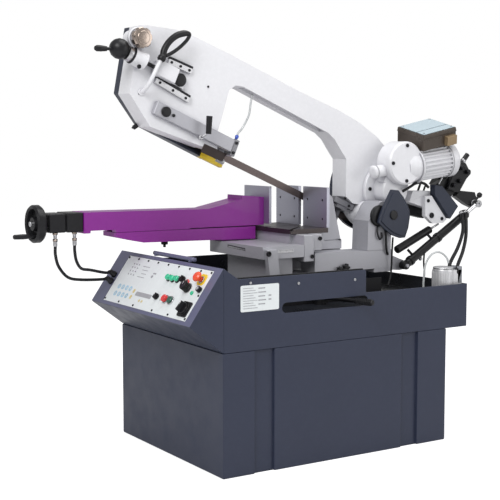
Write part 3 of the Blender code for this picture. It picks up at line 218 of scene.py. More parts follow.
MATERIALS = {
    "graphite": paint("graphite_sprayed", (0.028, 0.035, 0.065), rough=0.38, peel=0.10,
                      shade=0.94, spec=0.4),
    # Painted shade: a near-black, glossy copy for the inside of the chip tray.
    "tray_in": paint("tray_painted_shade", (0.012, 0.014, 0.020), rough=0.30, peel=0.20, metal=0.1),
    # Lit tone of the console's paint for its top faces; its sides and underside take graphite as
    # painted shade.
    "console": paint("console_sprayed", (0.125, 0.130, 0.215), rough=0.38, peel=0.12, shade=0.94),
    # The white enamel gets painted shade in its recesses.
    "white": paint("white_enamel", (0.79, 0.79, 0.82), rough=0.36, peel=0.16, grain=520.0,
                   coat=0.15, shade=0.965, recess_shade=(0.03, (0.50, 0.50, 0.54))),
    "shield": paint("shield_sprayed", (0.024, 0.030, 0.052), rough=0.36, peel=0.10,
                    shade=0.9, spec=0.4),
    "purple": paint("purple_enamel", (0.255, 0.014, 0.285), rough=0.36, peel=0.14, grain=520.0,
                    coat=0.15, shade=0.92),
    "cast": steel("milled_cast_iron", (0.50, 0.50, 0.54), rough=0.42, stretch=(30, 1, 30),
                  scale=60.0, depth=0.18, metal=0.35, stain=0.12),
    "castskin": cast_iron("cast_iron_skin", (0.42, 0.42, 0.46), rough=0.55, depth=0.35,
                          metal=0.35),
    "jaw": steel("ground_jaw_steel", (0.52, 0.52, 0.60), rough=0.33, stretch=(4, 4, 1),
                 scale=240.0, depth=0.10, metal=0.85, stain=0.08),
    "table": steel("oiled_table_steel", (0.085, 0.072, 0.072), rough=0.30, stretch=(1, 14, 1),
                   scale=200.0, depth=0.14, metal=0.8, stain=0.3),
    "bright": steel("polished_steel", (0.76, 0.76, 0.78), rough=0.16, stretch=(1, 12, 12),
                    scale=160.0, depth=0.04, stain=0.04),
    "band": steel("tempered_band_steel", (0.155, 0.125, 0.120), rough=0.36,
                  stretch=(1, 1, 30), scale=90.0, depth=0.08, metal=0.9),
    "zinc": steel("zinc_plate", (0.62, 0.62, 0.64), rough=0.28, scale=420.0, depth=0.05,
                  stain=0.05),
    "oxide": steel("black_oxide_screw", (0.030, 0.030, 0.034), rough=0.34, scale=500.0,
                   depth=0.10, metal=0.8),
    "black": plastic("black_moulded", (0.010, 0.010, 0.012), rough=0.36, spec=0.35),
    "blackm": paint("black_enamel", (0.009, 0.009, 0.011), rough=0.34, peel=0.16, spec=0.35),
    "rubber": plastic("black_hose_rubber", (0.010, 0.010, 0.012), rough=0.46, grain=2400.0,
                      depth=0.25, spec=0.3),
    "yellow": paint("yellow_enamel", (0.88, 0.62, 0.03), rough=0.36, peel=0.12, shade=0.92),
    "panel": paint("panel_print_white", (0.80, 0.84, 0.85), rough=0.42, peel=0.05,
                   grain=1800.0, shade=0.965),
    "alu": steel("cast_aluminium", (0.80, 0.80, 0.82), rough=0.38, scale=380.0, depth=0.12,
                 metal=0.75, stain=0.04),
    # The motor silver gets painted shade in its recesses.
    "motor": paint("motor_silver", (0.76, 0.76, 0.79), rough=0.36, peel=0.22, grain=520.0,
                   metal=0.1, shade=0.9, recess_shade=(0.012, (0.20, 0.20, 0.22))),
    "box": paint("terminal_box_enamel", (0.085, 0.068, 0.055), rough=0.28, peel=0.12, metal=0.3),
    "lid": steel("terminal_lid", (0.66, 0.80, 0.88), rough=0.12, stretch=(1, 8, 1),
                 scale=120.0, depth=0.04, metal=0.30, stain=0.05),
    "green": plastic("green_lens", (0.04, 0.56, 0.30), rough=0.20, coat=0.5, emit=0.10),
    "dkgreen": plastic("dark_green_button", (0.010, 0.095, 0.060), rough=0.26, coat=0.4),
    "red": plastic("red_button", (0.78, 0.025, 0.025), rough=0.24, coat=0.4),
    "stop": plastic("stop_head_red", (0.92, 0.085, 0.020), rough=0.26, coat=0.4),
    "bronze": steel("nickel_plated_knob", (0.52, 0.43, 0.37), rough=0.20, stretch=(1, 1, 6),
                    scale=200.0, depth=0.06, stain=0.2),
    "clear": plastic("clear_coolant_tube", (0.58, 0.60, 0.61), rough=0.18, coat=0.6),
    "ltblue": plastic("print_pale_blue", (0.42, 0.68, 0.85), rough=0.45),
    "ltgrey": plastic("print_grey", (0.42, 0.42, 0.45), rough=0.45),
    "ink": plastic("print_dark", (0.05, 0.05, 0.06), rough=0.45),
    "ochre": plastic("print_ochre", (0.78, 0.64, 0.30), rough=0.45),
    "blue": plastic("blue_tap", (0.04, 0.10, 0.55), rough=0.3, coat=0.3),
    "guide": steel("guide_block_steel", (0.26, 0.26, 0.28), rough=0.36, scale=300.0,
                   depth=0.10, metal=0.8),
    "brassy": paint("entry_block_enamel", (0.36, 0.26, 0.15), rough=0.34, peel=0.12, metal=0.45),
    "exit": steel("band_exit_steel", (0.050, 0.038, 0.036), rough=0.4, stretch=(1, 1, 8),
                  scale=160.0, depth=0.1, metal=0.7),
    "junction": paint("junction_grey", (0.30, 0.31, 0.34), rough=0.4, peel=0.12),
    "pwhite": plastic("white_lens", (0.86, 0.86, 0.86), rough=0.24, coat=0.5),
}


# ------------------------------------------------------- finish the CAD pieces
def by_name(groups):
    return {name: value for value, names in groups.items() for name in names.split()}


NODE_MATERIAL = by_name({
    "graphite": "base_cabinet chip_tray",
    "console": "control_console",
    "panel": "control_panel",
    "cast": "vise_bed bed_support_leg jaw_bracket_near jaw_bracket_far swivel_arm"
            " pivot_column guide_bar",
    "castskin": "turntable_base idler_wheel drive_wheel",
    "table": "table_plate",
    "jaw": "fixed_jaw_near fixed_jaw_far movable_jaw_plate",
    "purple": "vise_rail vise_ram",
    "bright": "leadscrew_nut vise_leadscrew pivot_shaft lift_rod",
    "alu": "coolant_pump",
    "motor": "drive_motor",
    "blackm": "clamp_cylinder vise_handwheel lift_cylinder hydraulic_block cylinder_arm"
              " mitre_lock_lever",
    "guide": "left_blade_guide right_blade_guide",
    "shield": "pivot_guard idler_wheel_cover drive_wheel_cover rear_channel_cover",
    "white": "bow_casting tension_block gearbox rear_lever_arm",
    "band": "saw_band",
    "black": "tension_knob guide_clamp_lever bow_handle speed_dial feed_knob mode_selector"
             " pump_selector main_switch_knob",
    "yellow": "blade_guard",
    "bronze": "lock_knob",
    "box": "terminal_box",
    "green": "green_button_left green_button_middle green_button_right",
    "dkgreen": "start_button",
    "red": "stop_button",
    "stop": "emergency_stop_button",
})

USUAL_BEVEL = 0.0006
NODE_BEVEL = by_name({
    0.007: "bow_casting",
    0.004: "base_cabinet control_console vise_ram pivot_column hydraulic_block",
    0.003: "gearbox vise_rail swivel_arm rear_lever_arm cylinder_arm jaw_bracket_near"
           " jaw_bracket_far",
    0.002: "chip_tray vise_bed drive_wheel_cover terminal_box pivot_guard"
           " rear_channel_cover bed_support_leg clamp_cylinder",
    0.0015: "idler_wheel_cover",
    0.0: "saw_band control_panel",
})


def finish_shape(ob, bevel_width):
    ob.modifiers.new("weld", "WELD").merge_threshold = 0.00001
    if bevel_width > 0:
        edge = ob.modifiers.new("edge", "BEVEL")
        edge.width = bevel_width
        edge.segments = 3
        edge.limit_method = "ANGLE"
        edge.angle_limit = math.radians(32.0)
        edge.miter_outer = "MITER_ARC"
    normals = ob.modifiers.new("normals", "WEIGHTED_NORMAL")
    normals.weight = 80
    normals.keep_sharp = False


for name, ob in NODES.items():
    mesh = ob.data
    if "custom_normal" in mesh.attributes:
        mesh.attributes.remove(mesh.attributes["custom_normal"])
    mesh.shade_smooth()
    mesh.materials.clear()
    mesh.materials.append(MATERIALS[NODE_MATERIAL[name]])
    finish_shape(ob, NODE_BEVEL.get(name, USUAL_BEVEL))


def console_painted_shade(normal, centre):
    """Painted shade: the console's sides and underside, which take graphite while its lit top
    keeps the lighter paint.
    """
    return not (normal.z > 0.25 and normal.x < 0.2)


def tray_inside(normal, centre):
    """Painted shade: the tray's floor and the wall faces that look inward, which take near-black.
    """
    within = abs(centre.y) < 0.4205 and -0.544 < centre.x < 0.6615 and 0.598 < centre.z < 0.79
    return within and (abs(normal.z) > 0.5 or normal.y * centre.y < -0.05
                       or normal.x * (centre.x - 0.06) < -0.02)


# Second materials are painted shade: graphite on the console's sides and underside, near-black
# inside the tray.
for name, second, is_second in (("control_console", "graphite", console_painted_shade),
                                ("chip_tray", "tray_in", tray_inside)):
    mesh = NODES[name].data
    mesh.materials.append(MATERIALS[second])
    for face in mesh.polygons:
        face.material_index = int(is_second(face.normal, face.center))


# ---------------------------------------------------------------- mesh helpers
def make(bm):
    bmesh.ops.recalc_face_normals(bm, faces=bm.faces[:])
    mesh = bpy.data.meshes.new("part")
    bm.to_mesh(mesh)
    bm.free()
    ob = bpy.data.objects.new("part", mesh)
    bpy.context.scene.collection.objects.link(ob)
    return ob


def piece(name, material, shape, body="base", bevel=0.0, smooth=True):
    """Name, colour and finish a shape, and fix it to a moving body."""
    shape.name = shape.data.name = name
    shape.data.materials.append(MATERIALS[material])
    if smooth:
        shape.data.shade_smooth()
    finish_shape(shape, bevel)
    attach(shape, body)
    return shape


def bow_piece(name, material, shape, body="bow", bevel=0.0, smooth=True):
    """A piece given in the level bow's coordinates."""
    shape.data.transform(RAISE_BOW)
    return piece(name, material, shape, body, bevel, smooth)


def axes_of(direction):
    """Two unit vectors square to the direction, and the unit direction."""
    along = Vector(direction).normalized()
    helper = Vector(UP) if abs(along.z) < 0.9 else Vector(RIGHT)
    across = helper.cross(along).normalized()
    return across, along.cross(across).normalized(), along


def around(count):
    return [2 * math.pi * k / count for k in range(count)]


def circle(bm, centre, across, over, radius, segments):
    return [bm.verts.new(centre + (across * math.cos(a) + over * math.sin(a)) * radius)
            for a in around(segments)]


def skin(bm, loops):
    for low, high in zip(loops, loops[1:]):
        for k in range(len(low)):
            n = (k + 1) % len(low)
            bm.faces.new((low[k], low[n], high[n], high[k]))


def cap(bm, loops):
    bm.faces.new(loops[0][::-1])
    bm.faces.new(loops[-1])


def turned(profile, origin, direction, segments, closed=False):
    """Revolve (radius, distance along) points; a closed profile leaves a hole."""
    across, over, along = axes_of(direction)
    bm = bmesh.new()
    loops = [circle(bm, Vector(origin) + along * distance, across, over, radius, segments)
             for radius, distance in profile]
    if closed:
        skin(bm, loops + loops[:1])
    else:
        skin(bm, loops)
        cap(bm, loops)
    return make(bm)


def lathe(profile, origin, direction, segments):
    return turned(profile, origin, direction, segments)


def ring(profile, origin, direction, segments):
    return turned(profile, origin, direction, segments, closed=True)


def washer(inner, outer, height, origin, direction, segments):
    profile = [(inner, 0), (outer, 0), (outer, height), (inner, height)]
    return ring(profile, origin, direction, segments)


def rim(inner, outer, side, lip, height):
    """Ring profile whose outer wall leans in to the lip radius above side."""
    return [(inner, 0), (outer, 0), (outer, side), (lip, height), (inner, height)]


def smooth_path(points, steps):
    """Catmull-Rom through the points."""
    p = [Vector(q) for q in points]
    p = [p[0] * 2 - p[1]] + p + [p[-1] * 2 - p[-2]]
    path = []
    for before, start, end, after in zip(p, p[1:], p[2:], p[3:]):
        for k in range(steps):
            t = k / steps
            path.append(0.5 * ((2 * start) + (end - before) * t
                               + (2 * before - 5 * start + 4 * end - after) * t * t
                               + (3 * start - before - 3 * end + after) * t ** 3))
    path.append(p[-2])
    return path


def tube(points, radius, segments, steps):
    """Tube along a smoothed path; radius is a number or a function of 0..1."""
    path = smooth_path(points, steps)
    last = len(path) - 1
    bm = bmesh.new()
    loops, across = [], None
    for i, centre in enumerate(path):
        along = (path[min(i + 1, last)] - path[max(i - 1, 0)]).normalized()
        if across is None:
            across = axes_of(along)[0]
        across = (across - along * across.dot(along)).normalized()
        here = radius(i / last) if callable(radius) else radius
        loops.append(circle(bm, centre, across, along.cross(across), here, segments))
    skin(bm, loops)
    cap(bm, loops)
    return make(bm)


def close_prism(bm, low, high):
    bm.faces.new(low)
    bm.faces.new(high[::-1])
    for i in range(len(low)):
        j = (i + 1) % len(low)
        bm.faces.new((low[i], high[i], high[j], low[j]))
    return make(bm)


def prism(outline, low, high, axis="y"):
    """Extrude an (x, z) outline along y, or a (y, z) outline along x."""
    def loop(depth):
        return [bm.verts.new((a, depth, b) if axis == "y" else (depth, a, b))
                for a, b in outline]
    bm = bmesh.new()
    return close_prism(bm, loop(low), loop(high))


def box(x0, x1, y0, y1, z0, z1):
    return prism([(x0, z0), (x1, z0), (x1, z1), (x0, z1)], y0, y1)


def join(parts):
    base = parts[0]
    bm = bmesh.new()
    for part in parts:
        bm.from_mesh(part.data)
    bm.to_mesh(base.data)
    bm.free()
    for part in parts[1:]:
        bpy.data.objects.remove(part, do_unlink=True)
    return base


def lathes(profile, spots, direction, segments):
    return join([lathe(profile, spot, direction, segments) for spot in spots])


def screws(spots, facing, radius, height):
    """Cap screw heads, each with a round socket."""
    profile = [(radius, 0.0), (radius, height * 0.8), (radius * 0.88, height),
               (radius * 0.52, height), (radius * 0.52, height * 0.3)]
    return lathes(profile, spots, facing, 24)


def hose(name, points, radius):
    """Rubber hose laid between two bodies, attached to neither."""
    ob = tube(points, radius, 14, 10)
    ob.name = ob.data.name = name
    ob.data.materials.append(MATERIALS["rubber"])
    ob.data.shade_smooth()
    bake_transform(ob)


# --------------------------------------------------------------- control panel
# Places on the panel are (distance down the slope, y, distance out).
PANEL_TOP = Vector((-0.5475, 0, 0.798))
PANEL_LOW = Vector((-0.693, 0, 0.592))
DOWN_PANEL = (PANEL_LOW - PANEL_TOP).normalized()
OFF_PANEL = Vector((DOWN_PANEL.z, 0, -DOWN_PANEL.x))
FACE = -0.0006
PRINT = 0.0005
DIAL_DOWN, DIAL_Y = 0.106, -0.266


def on_panel(down, y, out=FACE):
    return PANEL_TOP + DOWN_PANEL * down + Vector((0, y, 0)) + OFF_PANEL * out


def panel_plate(down0, down1, y0, y1, thick, out=FACE, cut=0.0, turn=0.0):
    """Plate on the panel; cut takes the corners off."""
    down, y = (down0 + down1) / 2, (y0 + y1) / 2
    a, b = (down1 - down0) / 2, (y1 - y0) / 2
    if cut > 0:
        shape = [(-a + cut, -b), (a - cut, -b), (a, -b + cut), (a, b - cut),
                 (a - cut, b), (-a + cut, b), (-a, b - cut), (-a, -b + cut)]
    else:
        shape = [(-a, -b), (a, -b), (a, b), (-a, b)]
    bm = bmesh.new()
    low, high = [], []
    for p, q in shape:
        place = (down + p * math.cos(turn) - q * math.sin(turn),
                 y + p * math.sin(turn) + q * math.cos(turn))
        low.append(bm.verts.new(on_panel(*place, out)))
        high.append(bm.verts.new(on_panel(*place, out + thick)))
    return close_prism(bm, low, high)


def panel_round(name, material, maker, down, y, profile, segments, out=FACE):
    piece(name, material, maker(profile, on_panel(down, y, out), OFF_PANEL, segments))


# Screws along the panel's top, bottom and one side.
TOP_ROW_Y = (0.318, 0.232, 0.146, 0.060, -0.026, -0.112, -0.198, -0.284, -0.363)
LOW_ROW_Y = (0.318, 0.190, 0.062, -0.100, -0.230, -0.363)
edge = [(0.026, y) for y in TOP_ROW_Y] + [(0.227, y) for y in LOW_ROW_Y] + [(0.126, -0.363)]
piece("panel_edge_screws", "oxide",
      screws([on_panel(*place) for place in edge], OFF_PANEL, 0.0045, 0.0028))

# Rows of small lamps and their marks share one pitch down the panel.
LAMP_PITCH = 0.0165
piece("panel_lamps_rows", "ltgrey",
      lathes([(0.0034, 0), (0.0034, 0.0012), (0.0022, 0.0024)],
             [on_panel(0.050 + LAMP_PITCH * i, 0.247 - 0.0230 * j)
              for i in range(4) for j in range(3)], OFF_PANEL, 12))
piece("panel_lamp_marks", "ltgrey",
      join([panel_plate(0.052 + LAMP_PITCH * i, 0.0545 + LAMP_PITCH * i,
                        0.105, 0.165 - 0.01 * (i % 3), 0.0004) for i in range(4)]), smooth=False)
piece("panel_mark_small", "ltgrey",
      join([panel_plate(0.072, 0.078, 0.028, 0.052, PRINT),
            panel_plate(0.084, 0.096, 0.040, 0.056, PRINT, cut=0.004)]), smooth=False)

# Two rows of four pale tiles, each with a white bar.
TILE, TILE_PITCH = 0.022, 0.034
tiles, bars = [], []
for row in range(2):
    for column in range(4):
        down = 0.150 + TILE_PITCH * row
        y = 0.272 - TILE_PITCH * column
        tiles.append(panel_plate(down, down + TILE, y - TILE, y, PRINT, cut=0.006))
        bars.append(panel_plate(down + 0.005, down + 0.017, y - 0.015, y - 0.010, 0.0004,
                                out=FACE + 0.0006, turn=0.5 * column))
piece("panel_function_tiles", "ltblue", join(tiles), smooth=False)
piece("panel_function_marks", "pwhite", join(bars), smooth=False)

OCHRE_MARKS = [  # down from, down to, y from, y to, corner cut
    (0.158, 0.176, 0.112, 0.128, 0.004), (0.186, 0.204, 0.112, 0.128, 0.004),
    (0.196, 0.208, 0.030, 0.044, 0.005), (0.196, 0.208, 0.008, 0.022, 0.005)]
piece("panel_ochre_marks", "ochre",
      join([panel_plate(*span, PRINT, cut=cut) for *span, cut in OCHRE_MARKS]), smooth=False)
piece("panel_plain_strip", "ltgrey",
      panel_plate(0.166, 0.184, -0.036, 0.095, 0.0008, cut=0.002), smooth=False)

# Collars and bezels around the buttons.
piece("stop_backplate", "yellow",
      panel_plate(0.036, 0.084, -0.352, -0.300, 0.0012, cut=0.010), bevel=0.0004)
panel_round("stop_collar", "zinc", ring, 0.062, -0.328,
            rim(0.0108, 0.0150, 0.0035, 0.0138, 0.005), 32, FACE + 0.0014)
for tag, down, y in (("a", 0.081, -0.091), ("b", 0.082, -0.125), ("c", 0.080, -0.160)):
    panel_round("button_bezel_" + tag, "black", ring, down, y,
                rim(0.0125, 0.0148, 0.0035, 0.0140, 0.0060), 28)
for tag, y in (("stop", -0.157), ("start", -0.196)):
    panel_round("button_bezel_" + tag, "zinc", ring, 0.170, y,
                rim(0.0156, 0.0182, 0.0030, 0.0174, 0.0050), 32)

# Scale around the speed dial: square ticks on the middle of a flat ring.
SCALE_INNER, SCALE_OUTER, SCALE_THICK = 0.0204, 0.0236, 0.0016
piece("dial_scale_ring", "pwhite",
      washer(SCALE_INNER, SCALE_OUTER, SCALE_THICK, on_panel(DIAL_DOWN, DIAL_Y), OFF_PANEL, 36))
TICK_RADIUS, TICK_HALF = (SCALE_INNER + SCALE_OUTER) / 2, 0.0009
ticks = []
for angle in (math.radians(40 + 28 * k) for k in range(11)):
    down = DIAL_DOWN + TICK_RADIUS * math.cos(angle)
    y = DIAL_Y + TICK_RADIUS * math.sin(angle)
    ticks.append(panel_plate(down - TICK_HALF, down + TICK_HALF, y - TICK_HALF, y + TICK_HALF,
                             PRINT, out=FACE + SCALE_THICK))
piece("dial_scale_ticks", "ink", join(ticks), smooth=False)

# Lamps and main switch.
panel_round("red_ring_lamp_rim", "red", ring, 0.084, -0.234,
            rim(0.0100, 0.0140, 0.004, 0.0120, 0.006), 28)
panel_round("red_ring_lamp_core", "ink", lathe, 0.084, -0.234,
            [(0.0098, 0), (0.0098, 0.006), (0.0060, 0.009)], 24)
panel_round("green_pilot_lamp", "green", lathe, 0.121, -0.310,
            [(0.0085, 0), (0.0085, 0.004), (0.0055, 0.0065)], 24)
panel_round("white_pilot_lamp", "pwhite", lathe, 0.171, -0.118,
            [(0.0085, 0), (0.0085, 0.006), (0.0060, 0.0085)], 24)
piece("main_switch_plate", "black",
      panel_plate(0.158, 0.222, -0.359, -0.292, 0.0042, cut=0.006), bevel=0.0012)
panel_round("main_switch_collar", "black", ring, 0.190, -0.325,
            [(0.0262, 0), (0.0300, 0), (0.0290, 0.0035), (0.0262, 0.0040)], 40, FACE + 0.0044)

# White pointers and other details that turn with the knobs.
KNOB_POINTERS = [  # tag, knob, down, y, length, height of the knob's top
    ("a", "mode_selector", 0.076, -0.200, 0.012, 0.0202),
    ("b", "pump_selector", 0.169, -0.083, 0.012, 0.0182),
    ("c", "main_switch_knob", 0.190, -0.325, 0.018, 0.0322)]
for tag, knob, down, y, length, top in KNOB_POINTERS:
    piece("knob_pointer_" + tag, "pwhite",
          panel_plate(down - length, down - length * 0.25, y - 0.0012, y + 0.0012, 0.0004, top),
          BODY[knob], smooth=False)
piece("speed_dial_pointer", "pwhite",
      panel_plate(0.092, 0.104, DIAL_Y - 0.001, DIAL_Y + 0.001, PRINT, out=0.0321),
      BODY["speed_dial"], smooth=False)
FLUTE_CIRCLE = 0.0172
piece("speed_dial_flutes", "black",
      lathes([(0.0016, 0), (0.0016, 0.020), (0.0006, 0.0215)],
             [on_panel(DIAL_DOWN + FLUTE_CIRCLE * math.cos(a),
                       DIAL_Y + FLUTE_CIRCLE * math.sin(a), 0.0095) for a in around(18)],
             OFF_PANEL, 8), BODY["speed_dial"])
piece("feed_knob_cap", "ltgrey",
      lathe([(0.0070, 0), (0.0070, 0.0006), (0.0060, 0.0010)],
            on_panel(0.103, -0.354, 0.0161), OFF_PANEL, 24), BODY["feed_knob"])

# ------------------------------------------- console rail, tray plate and trim
RAIL_X, RAIL_Z = -0.532, 0.8085
piece("console_top_rail", "console",
      tube([(RAIL_X, y, RAIL_Z) for y in (0.150, 0.0, -0.183)], 0.0085, 16, 8))
piece("console_rail_feet", "console",
      join([box(-0.545, -0.520, y, y + 0.012, 0.7985, 0.8060) for y in (0.120, -0.166)]),
      bevel=0.001)

# Plate on the tray's front with its corners cut, and grey bars on it.
PLATE_X0, PLATE_X1, PLATE_Z0, PLATE_Z1, PLATE_CUT = -0.4744, -0.3020, 0.6290, 0.7288, 0.004
piece("blank_data_plate", "panel",
      prism([(PLATE_X0 + PLATE_CUT, PLATE_Z1), (PLATE_X1 - PLATE_CUT, PLATE_Z1),
             (PLATE_X1, PLATE_Z1 - PLATE_CUT), (PLATE_X1, PLATE_Z0 + PLATE_CUT),
             (PLATE_X1 - PLATE_CUT, PLATE_Z0), (PLATE_X0 + PLATE_CUT, PLATE_Z0),
             (PLATE_X0, PLATE_Z0 + PLATE_CUT), (PLATE_X0, PLATE_Z1 - PLATE_CUT)],
            -0.4262, -0.4242), bevel=0.0004)
bars = [(-0.464, -0.418 + 0.009 * (k % 3), 0.7170 - 0.0095 * k, 0.0018) for k in range(9)]
bars += [(-0.396, -0.366 + 0.004 * (k % 2), 0.7130 - 0.0150 * k, 0.0040) for k in range(5)]
bars += [(-0.350, -0.338, 0.7130 - 0.0150 * k, 0.0050) for k in (2, 3)]
piece("data_plate_bars", "ltgrey",
      join([box(x0, x1, -0.42700, -0.42625, z, z + height) for x0, x1, z, height in bars]),
      smooth=False)
piece("tray_side_screws", "zinc",
      screws([(x, -0.4240, z) for x, z in ((-0.4302, 0.7371), (-0.2105, 0.7212),
                                           (0.0622, 0.7177))], FRONT, 0.0055, 0.003))
# Painted shade: a near-black sheet over the tray's floor.
piece("tray_floor_shade_sheet", "tray_in", box(-0.5395, 0.6575, -0.4165, 0.4165, 0.6004, 0.6012),
      smooth=False)
piece("tray_splash_strip", "rubber", box(-0.300, 0.360, -0.2230, -0.2205, 0.6015, 0.6880),
      bevel=0.0006)
piece("tray_rim_seal", "rubber",
      tube([(x, -0.409, 0.7545) for x in (-0.532, -0.20, 0.112)], 0.0042, 10, 2))

# ------------------------------------------------------------------------ vise
piece("table_screws", "oxide",
      screws([(x, y, 0.9000) for x in (-0.018, 0.140) for y in (-0.085, 0.020, 0.150, 0.262)],
             UP, 0.0050, 0.0002))
for tag, y0, y1 in (("near", -0.105, 0.070), ("far", 0.105, 0.280)):
    piece("fixed_jaw_screws_" + tag, "oxide",
          screws([(0.1606, y, z) for y in (y0 + 0.032, y1 - 0.032) for z in (0.935, 1.015)],
                 LEFT, 0.0048, 0.0040))
piece("movable_jaw_screws", "oxide",
      screws([(0.0108, y, z) for y in (0.141, 0.278) for z in (0.935, 1.020)],
             RIGHT, 0.0048, 0.0040), "vise")
piece("bed_screws", "oxide",
      screws([(0.0874, -0.1502, 0.8612), (0.0340, -0.1702, 0.790)], FRONT, 0.0085, 0.0070))
piece("leg_screw", "oxide", screws([(-0.1991, -0.1952, 0.8148)], FRONT, 0.0110, 0.0080))

# Slanted strips on the bed's left end, as (y, z) outlines: a dark sheet as painted shade in the
# slot, and a bright zinc strip on it as a painted highlight.
SLOT = [(0.1008, 0.8313), (-0.0373, 0.8263), (-0.0373, 0.8153), (0.1008, 0.8203)]
SLOT_HIGHLIGHT = [(0.0948, 0.8263), (-0.0343, 0.8213), (-0.0343, 0.8163), (0.0948, 0.8213)]
piece("bed_slot_painted_shade", "ink", prism(SLOT, -0.2108, -0.2101, "x"), smooth=False)
piece("bed_slot_painted_highlight", "zinc", prism(SLOT_HIGHLIGHT, -0.2112, -0.2108, "x"), smooth=False)
piece("bracket_screws", "oxide", screws([(0.254, -0.066, 0.8404)], UP, 0.0060, 0.0050))

# Scale along the bed's front; every fifth tick is longer.
piece("bed_front_scale", "zinc", box(-0.190, -0.060, -0.1716, -0.1700, 0.812, 0.826),
      bevel=0.0003)
ticks = []
for k in range(21):
    x = -0.186 + 0.006 * k
    length = 0.008 if k % 5 == 0 else 0.005
    ticks.append(box(x, x + 0.0008, -0.1722, -0.1716, 0.8255 - length, 0.8255))
piece("bed_scale_ticks", "ink", join(ticks), smooth=False)

# Clamp cylinder: end screws, collar, hose fittings and hoses.
piece("cylinder_end_screws", "oxide",
      screws([(-0.9905, 0.21 + dy, 0.9455 + dz) for dy in (-0.043, 0.043)
              for dz in (-0.028, 0.028)], LEFT, 0.0050, 0.0040), "vise")
piece("leadscrew_collar", "zinc",
      washer(0.0140, 0.0190, 0.010, (-0.9902, 0.21, 0.943), LEFT, 32), "vise")
FITTING_X, FITTING_Y = {"a": -0.962, "b": -0.880}, 0.168
for tag, x in FITTING_X.items():
    piece("hose_fitting_" + tag, "zinc",
          lathe([(0.0085, 0), (0.0085, 0.010), (0.0068, 0.012), (0.0068, 0.030),
                 (0.0082, 0.032), (0.0082, 0.052), (0.0062, 0.056)],
                (x, FITTING_Y, 0.9092), DOWN, 6), "vise")
for tag, x in FITTING_X.items():
    nuts = [lathe([(radius, 0), (radius, height)], (x, FITTING_Y, z), DOWN, 6)
            for radius, height, z in ((0.0104, 0.008, 0.9088), (0.0098, 0.010, 0.884))]
    piece("hose_nut_" + tag, "bronze", join(nuts), "vise")
GLANDS = {"a": on_panel(0.150, 0.346, 0.030), "b": on_panel(0.118, 0.352, 0.030)}
HOSE_ROUTES = {
    "a": [(-0.962, 0.168, 0.856), (-0.962, 0.167, 0.820), (-0.944, 0.178, 0.772),
          (-0.885, 0.226, 0.722), (-0.800, 0.290, 0.700)],
    "b": [(-0.880, 0.168, 0.856), (-0.880, 0.167, 0.830), (-0.868, 0.178, 0.790),
          (-0.826, 0.226, 0.754), (-0.755, 0.292, 0.737)],
}
for tag, gland in GLANDS.items():
    approach = gland + OFF_PANEL * 0.016 + DOWN_PANEL * 0.016 + Vector((0, -0.006, 0))
    hose("vise_hose_" + tag, HOSE_ROUTES[tag] + [approach, gland], 0.0062)
    piece("hose_gland_" + tag, "black",
          lathe([(0.0135, 0), (0.0145, 0.003), (0.0145, 0.012), (0.0115, 0.015),
                 (0.0115, 0.026), (0.0085, 0.031)], gland - OFF_PANEL * 0.0305, OFF_PANEL, 8))
piece("rail_stop_stud", "black",
      join([lathe([(0.0100, 0), (0.0100, 0.012), (0.0150, 0.014), (0.0150, 0.024),
                   (0.0060, 0.026), (0.0060, 0.036)], (-0.4570, 0.205, 0.8600), DOWN, 8),
            lathe([(0.0080, 0), (0.0080, 0.030)], (-0.4570, 0.205, 0.8880), DOWN, 12)]))

# ---------------------------------------------------------- bow: tension end
BOW_FRONT = -0.0200
BEHIND_FACE = BOW_FRONT - 0.0002


def slanted_bar(start, end, low, high, y):
    """Bar from start to end, both (x, z), spanning low..high above that line."""
    (x0, z0), (x1, z1) = start, end
    outline = [(x0, z0 + low), (x1, z1 + low), (x1, z1 + high), (x0, z0 + high)]
    return prism(outline, y, BEHIND_FACE)


RAIL_HALF = 0.0105
RAIL_FRONT = BOW_FRONT - 0.0180
TENSION_RAILS = {"upper": ((-0.729, 1.132), (-0.619, 1.139)),
                 "lower": ((-0.752, 1.040), (-0.585, 1.030))}
for tag, (start, end) in TENSION_RAILS.items():
    bow_piece("tension_rail_" + tag, "zinc",
              slanted_bar(start, end, -RAIL_HALF, RAIL_HALF, RAIL_FRONT), bevel=0.001)
    bow_piece("tension_rail_shim_" + tag, "oxide",
              slanted_bar(start, end, RAIL_HALF + 0.0004, RAIL_HALF + 0.0100,
                          BOW_FRONT - 0.0150), bevel=0.0006)
    spots = [(start[0] + (end[0] - start[0]) * t, RAIL_FRONT, start[1] + (end[1] - start[1]) * t)
             for t in (0.12, 0.5, 0.88)]
    bow_piece("tension_rail_screws_" + tag, "oxide", screws(spots, FRONT, 0.0055, 0.0025))
bow_piece("idler_axle_cap", "black",
          lathe([(0.0265, 0.0), (0.0265, 0.004), (0.0240, 0.0065), (0.0120, 0.0070)],
                (-0.657, -0.0402, 1.085), FRONT, 36), "tension")
bow_piece("guide_bar_cap", "black",
          lathe([(0.0205, 0), (0.0205, 0.006), (0.0185, 0.009), (0.0120, 0.010)],
                (-0.668, -0.0453, 0.944), FRONT, 32), "guide")
bow_piece("guide_bar_pin", "black",
          lathe([(0.0065, 0), (0.0065, 0.005), (0.0045, 0.007)],
                (-0.632, -0.0453, 0.944), FRONT, 20), "guide")
bow_piece("nose_screws", "oxide",
          screws([(x, BOW_FRONT, z) for x, z in ((-0.790, 0.966), (-0.782, 0.975),
                                                 (-0.520, 1.120))], FRONT, 0.0045, 0.003))
bow_piece("boss_screw", "oxide", screws([(-0.860, -0.0842, 1.044)], FRONT, 0.0085, 0.005))
bow_piece("tension_thrust_washer", "oxide",
          washer(0.0262, 0.0335, 0.004, (-0.8876, -0.050, 1.080), LEFT, 40))
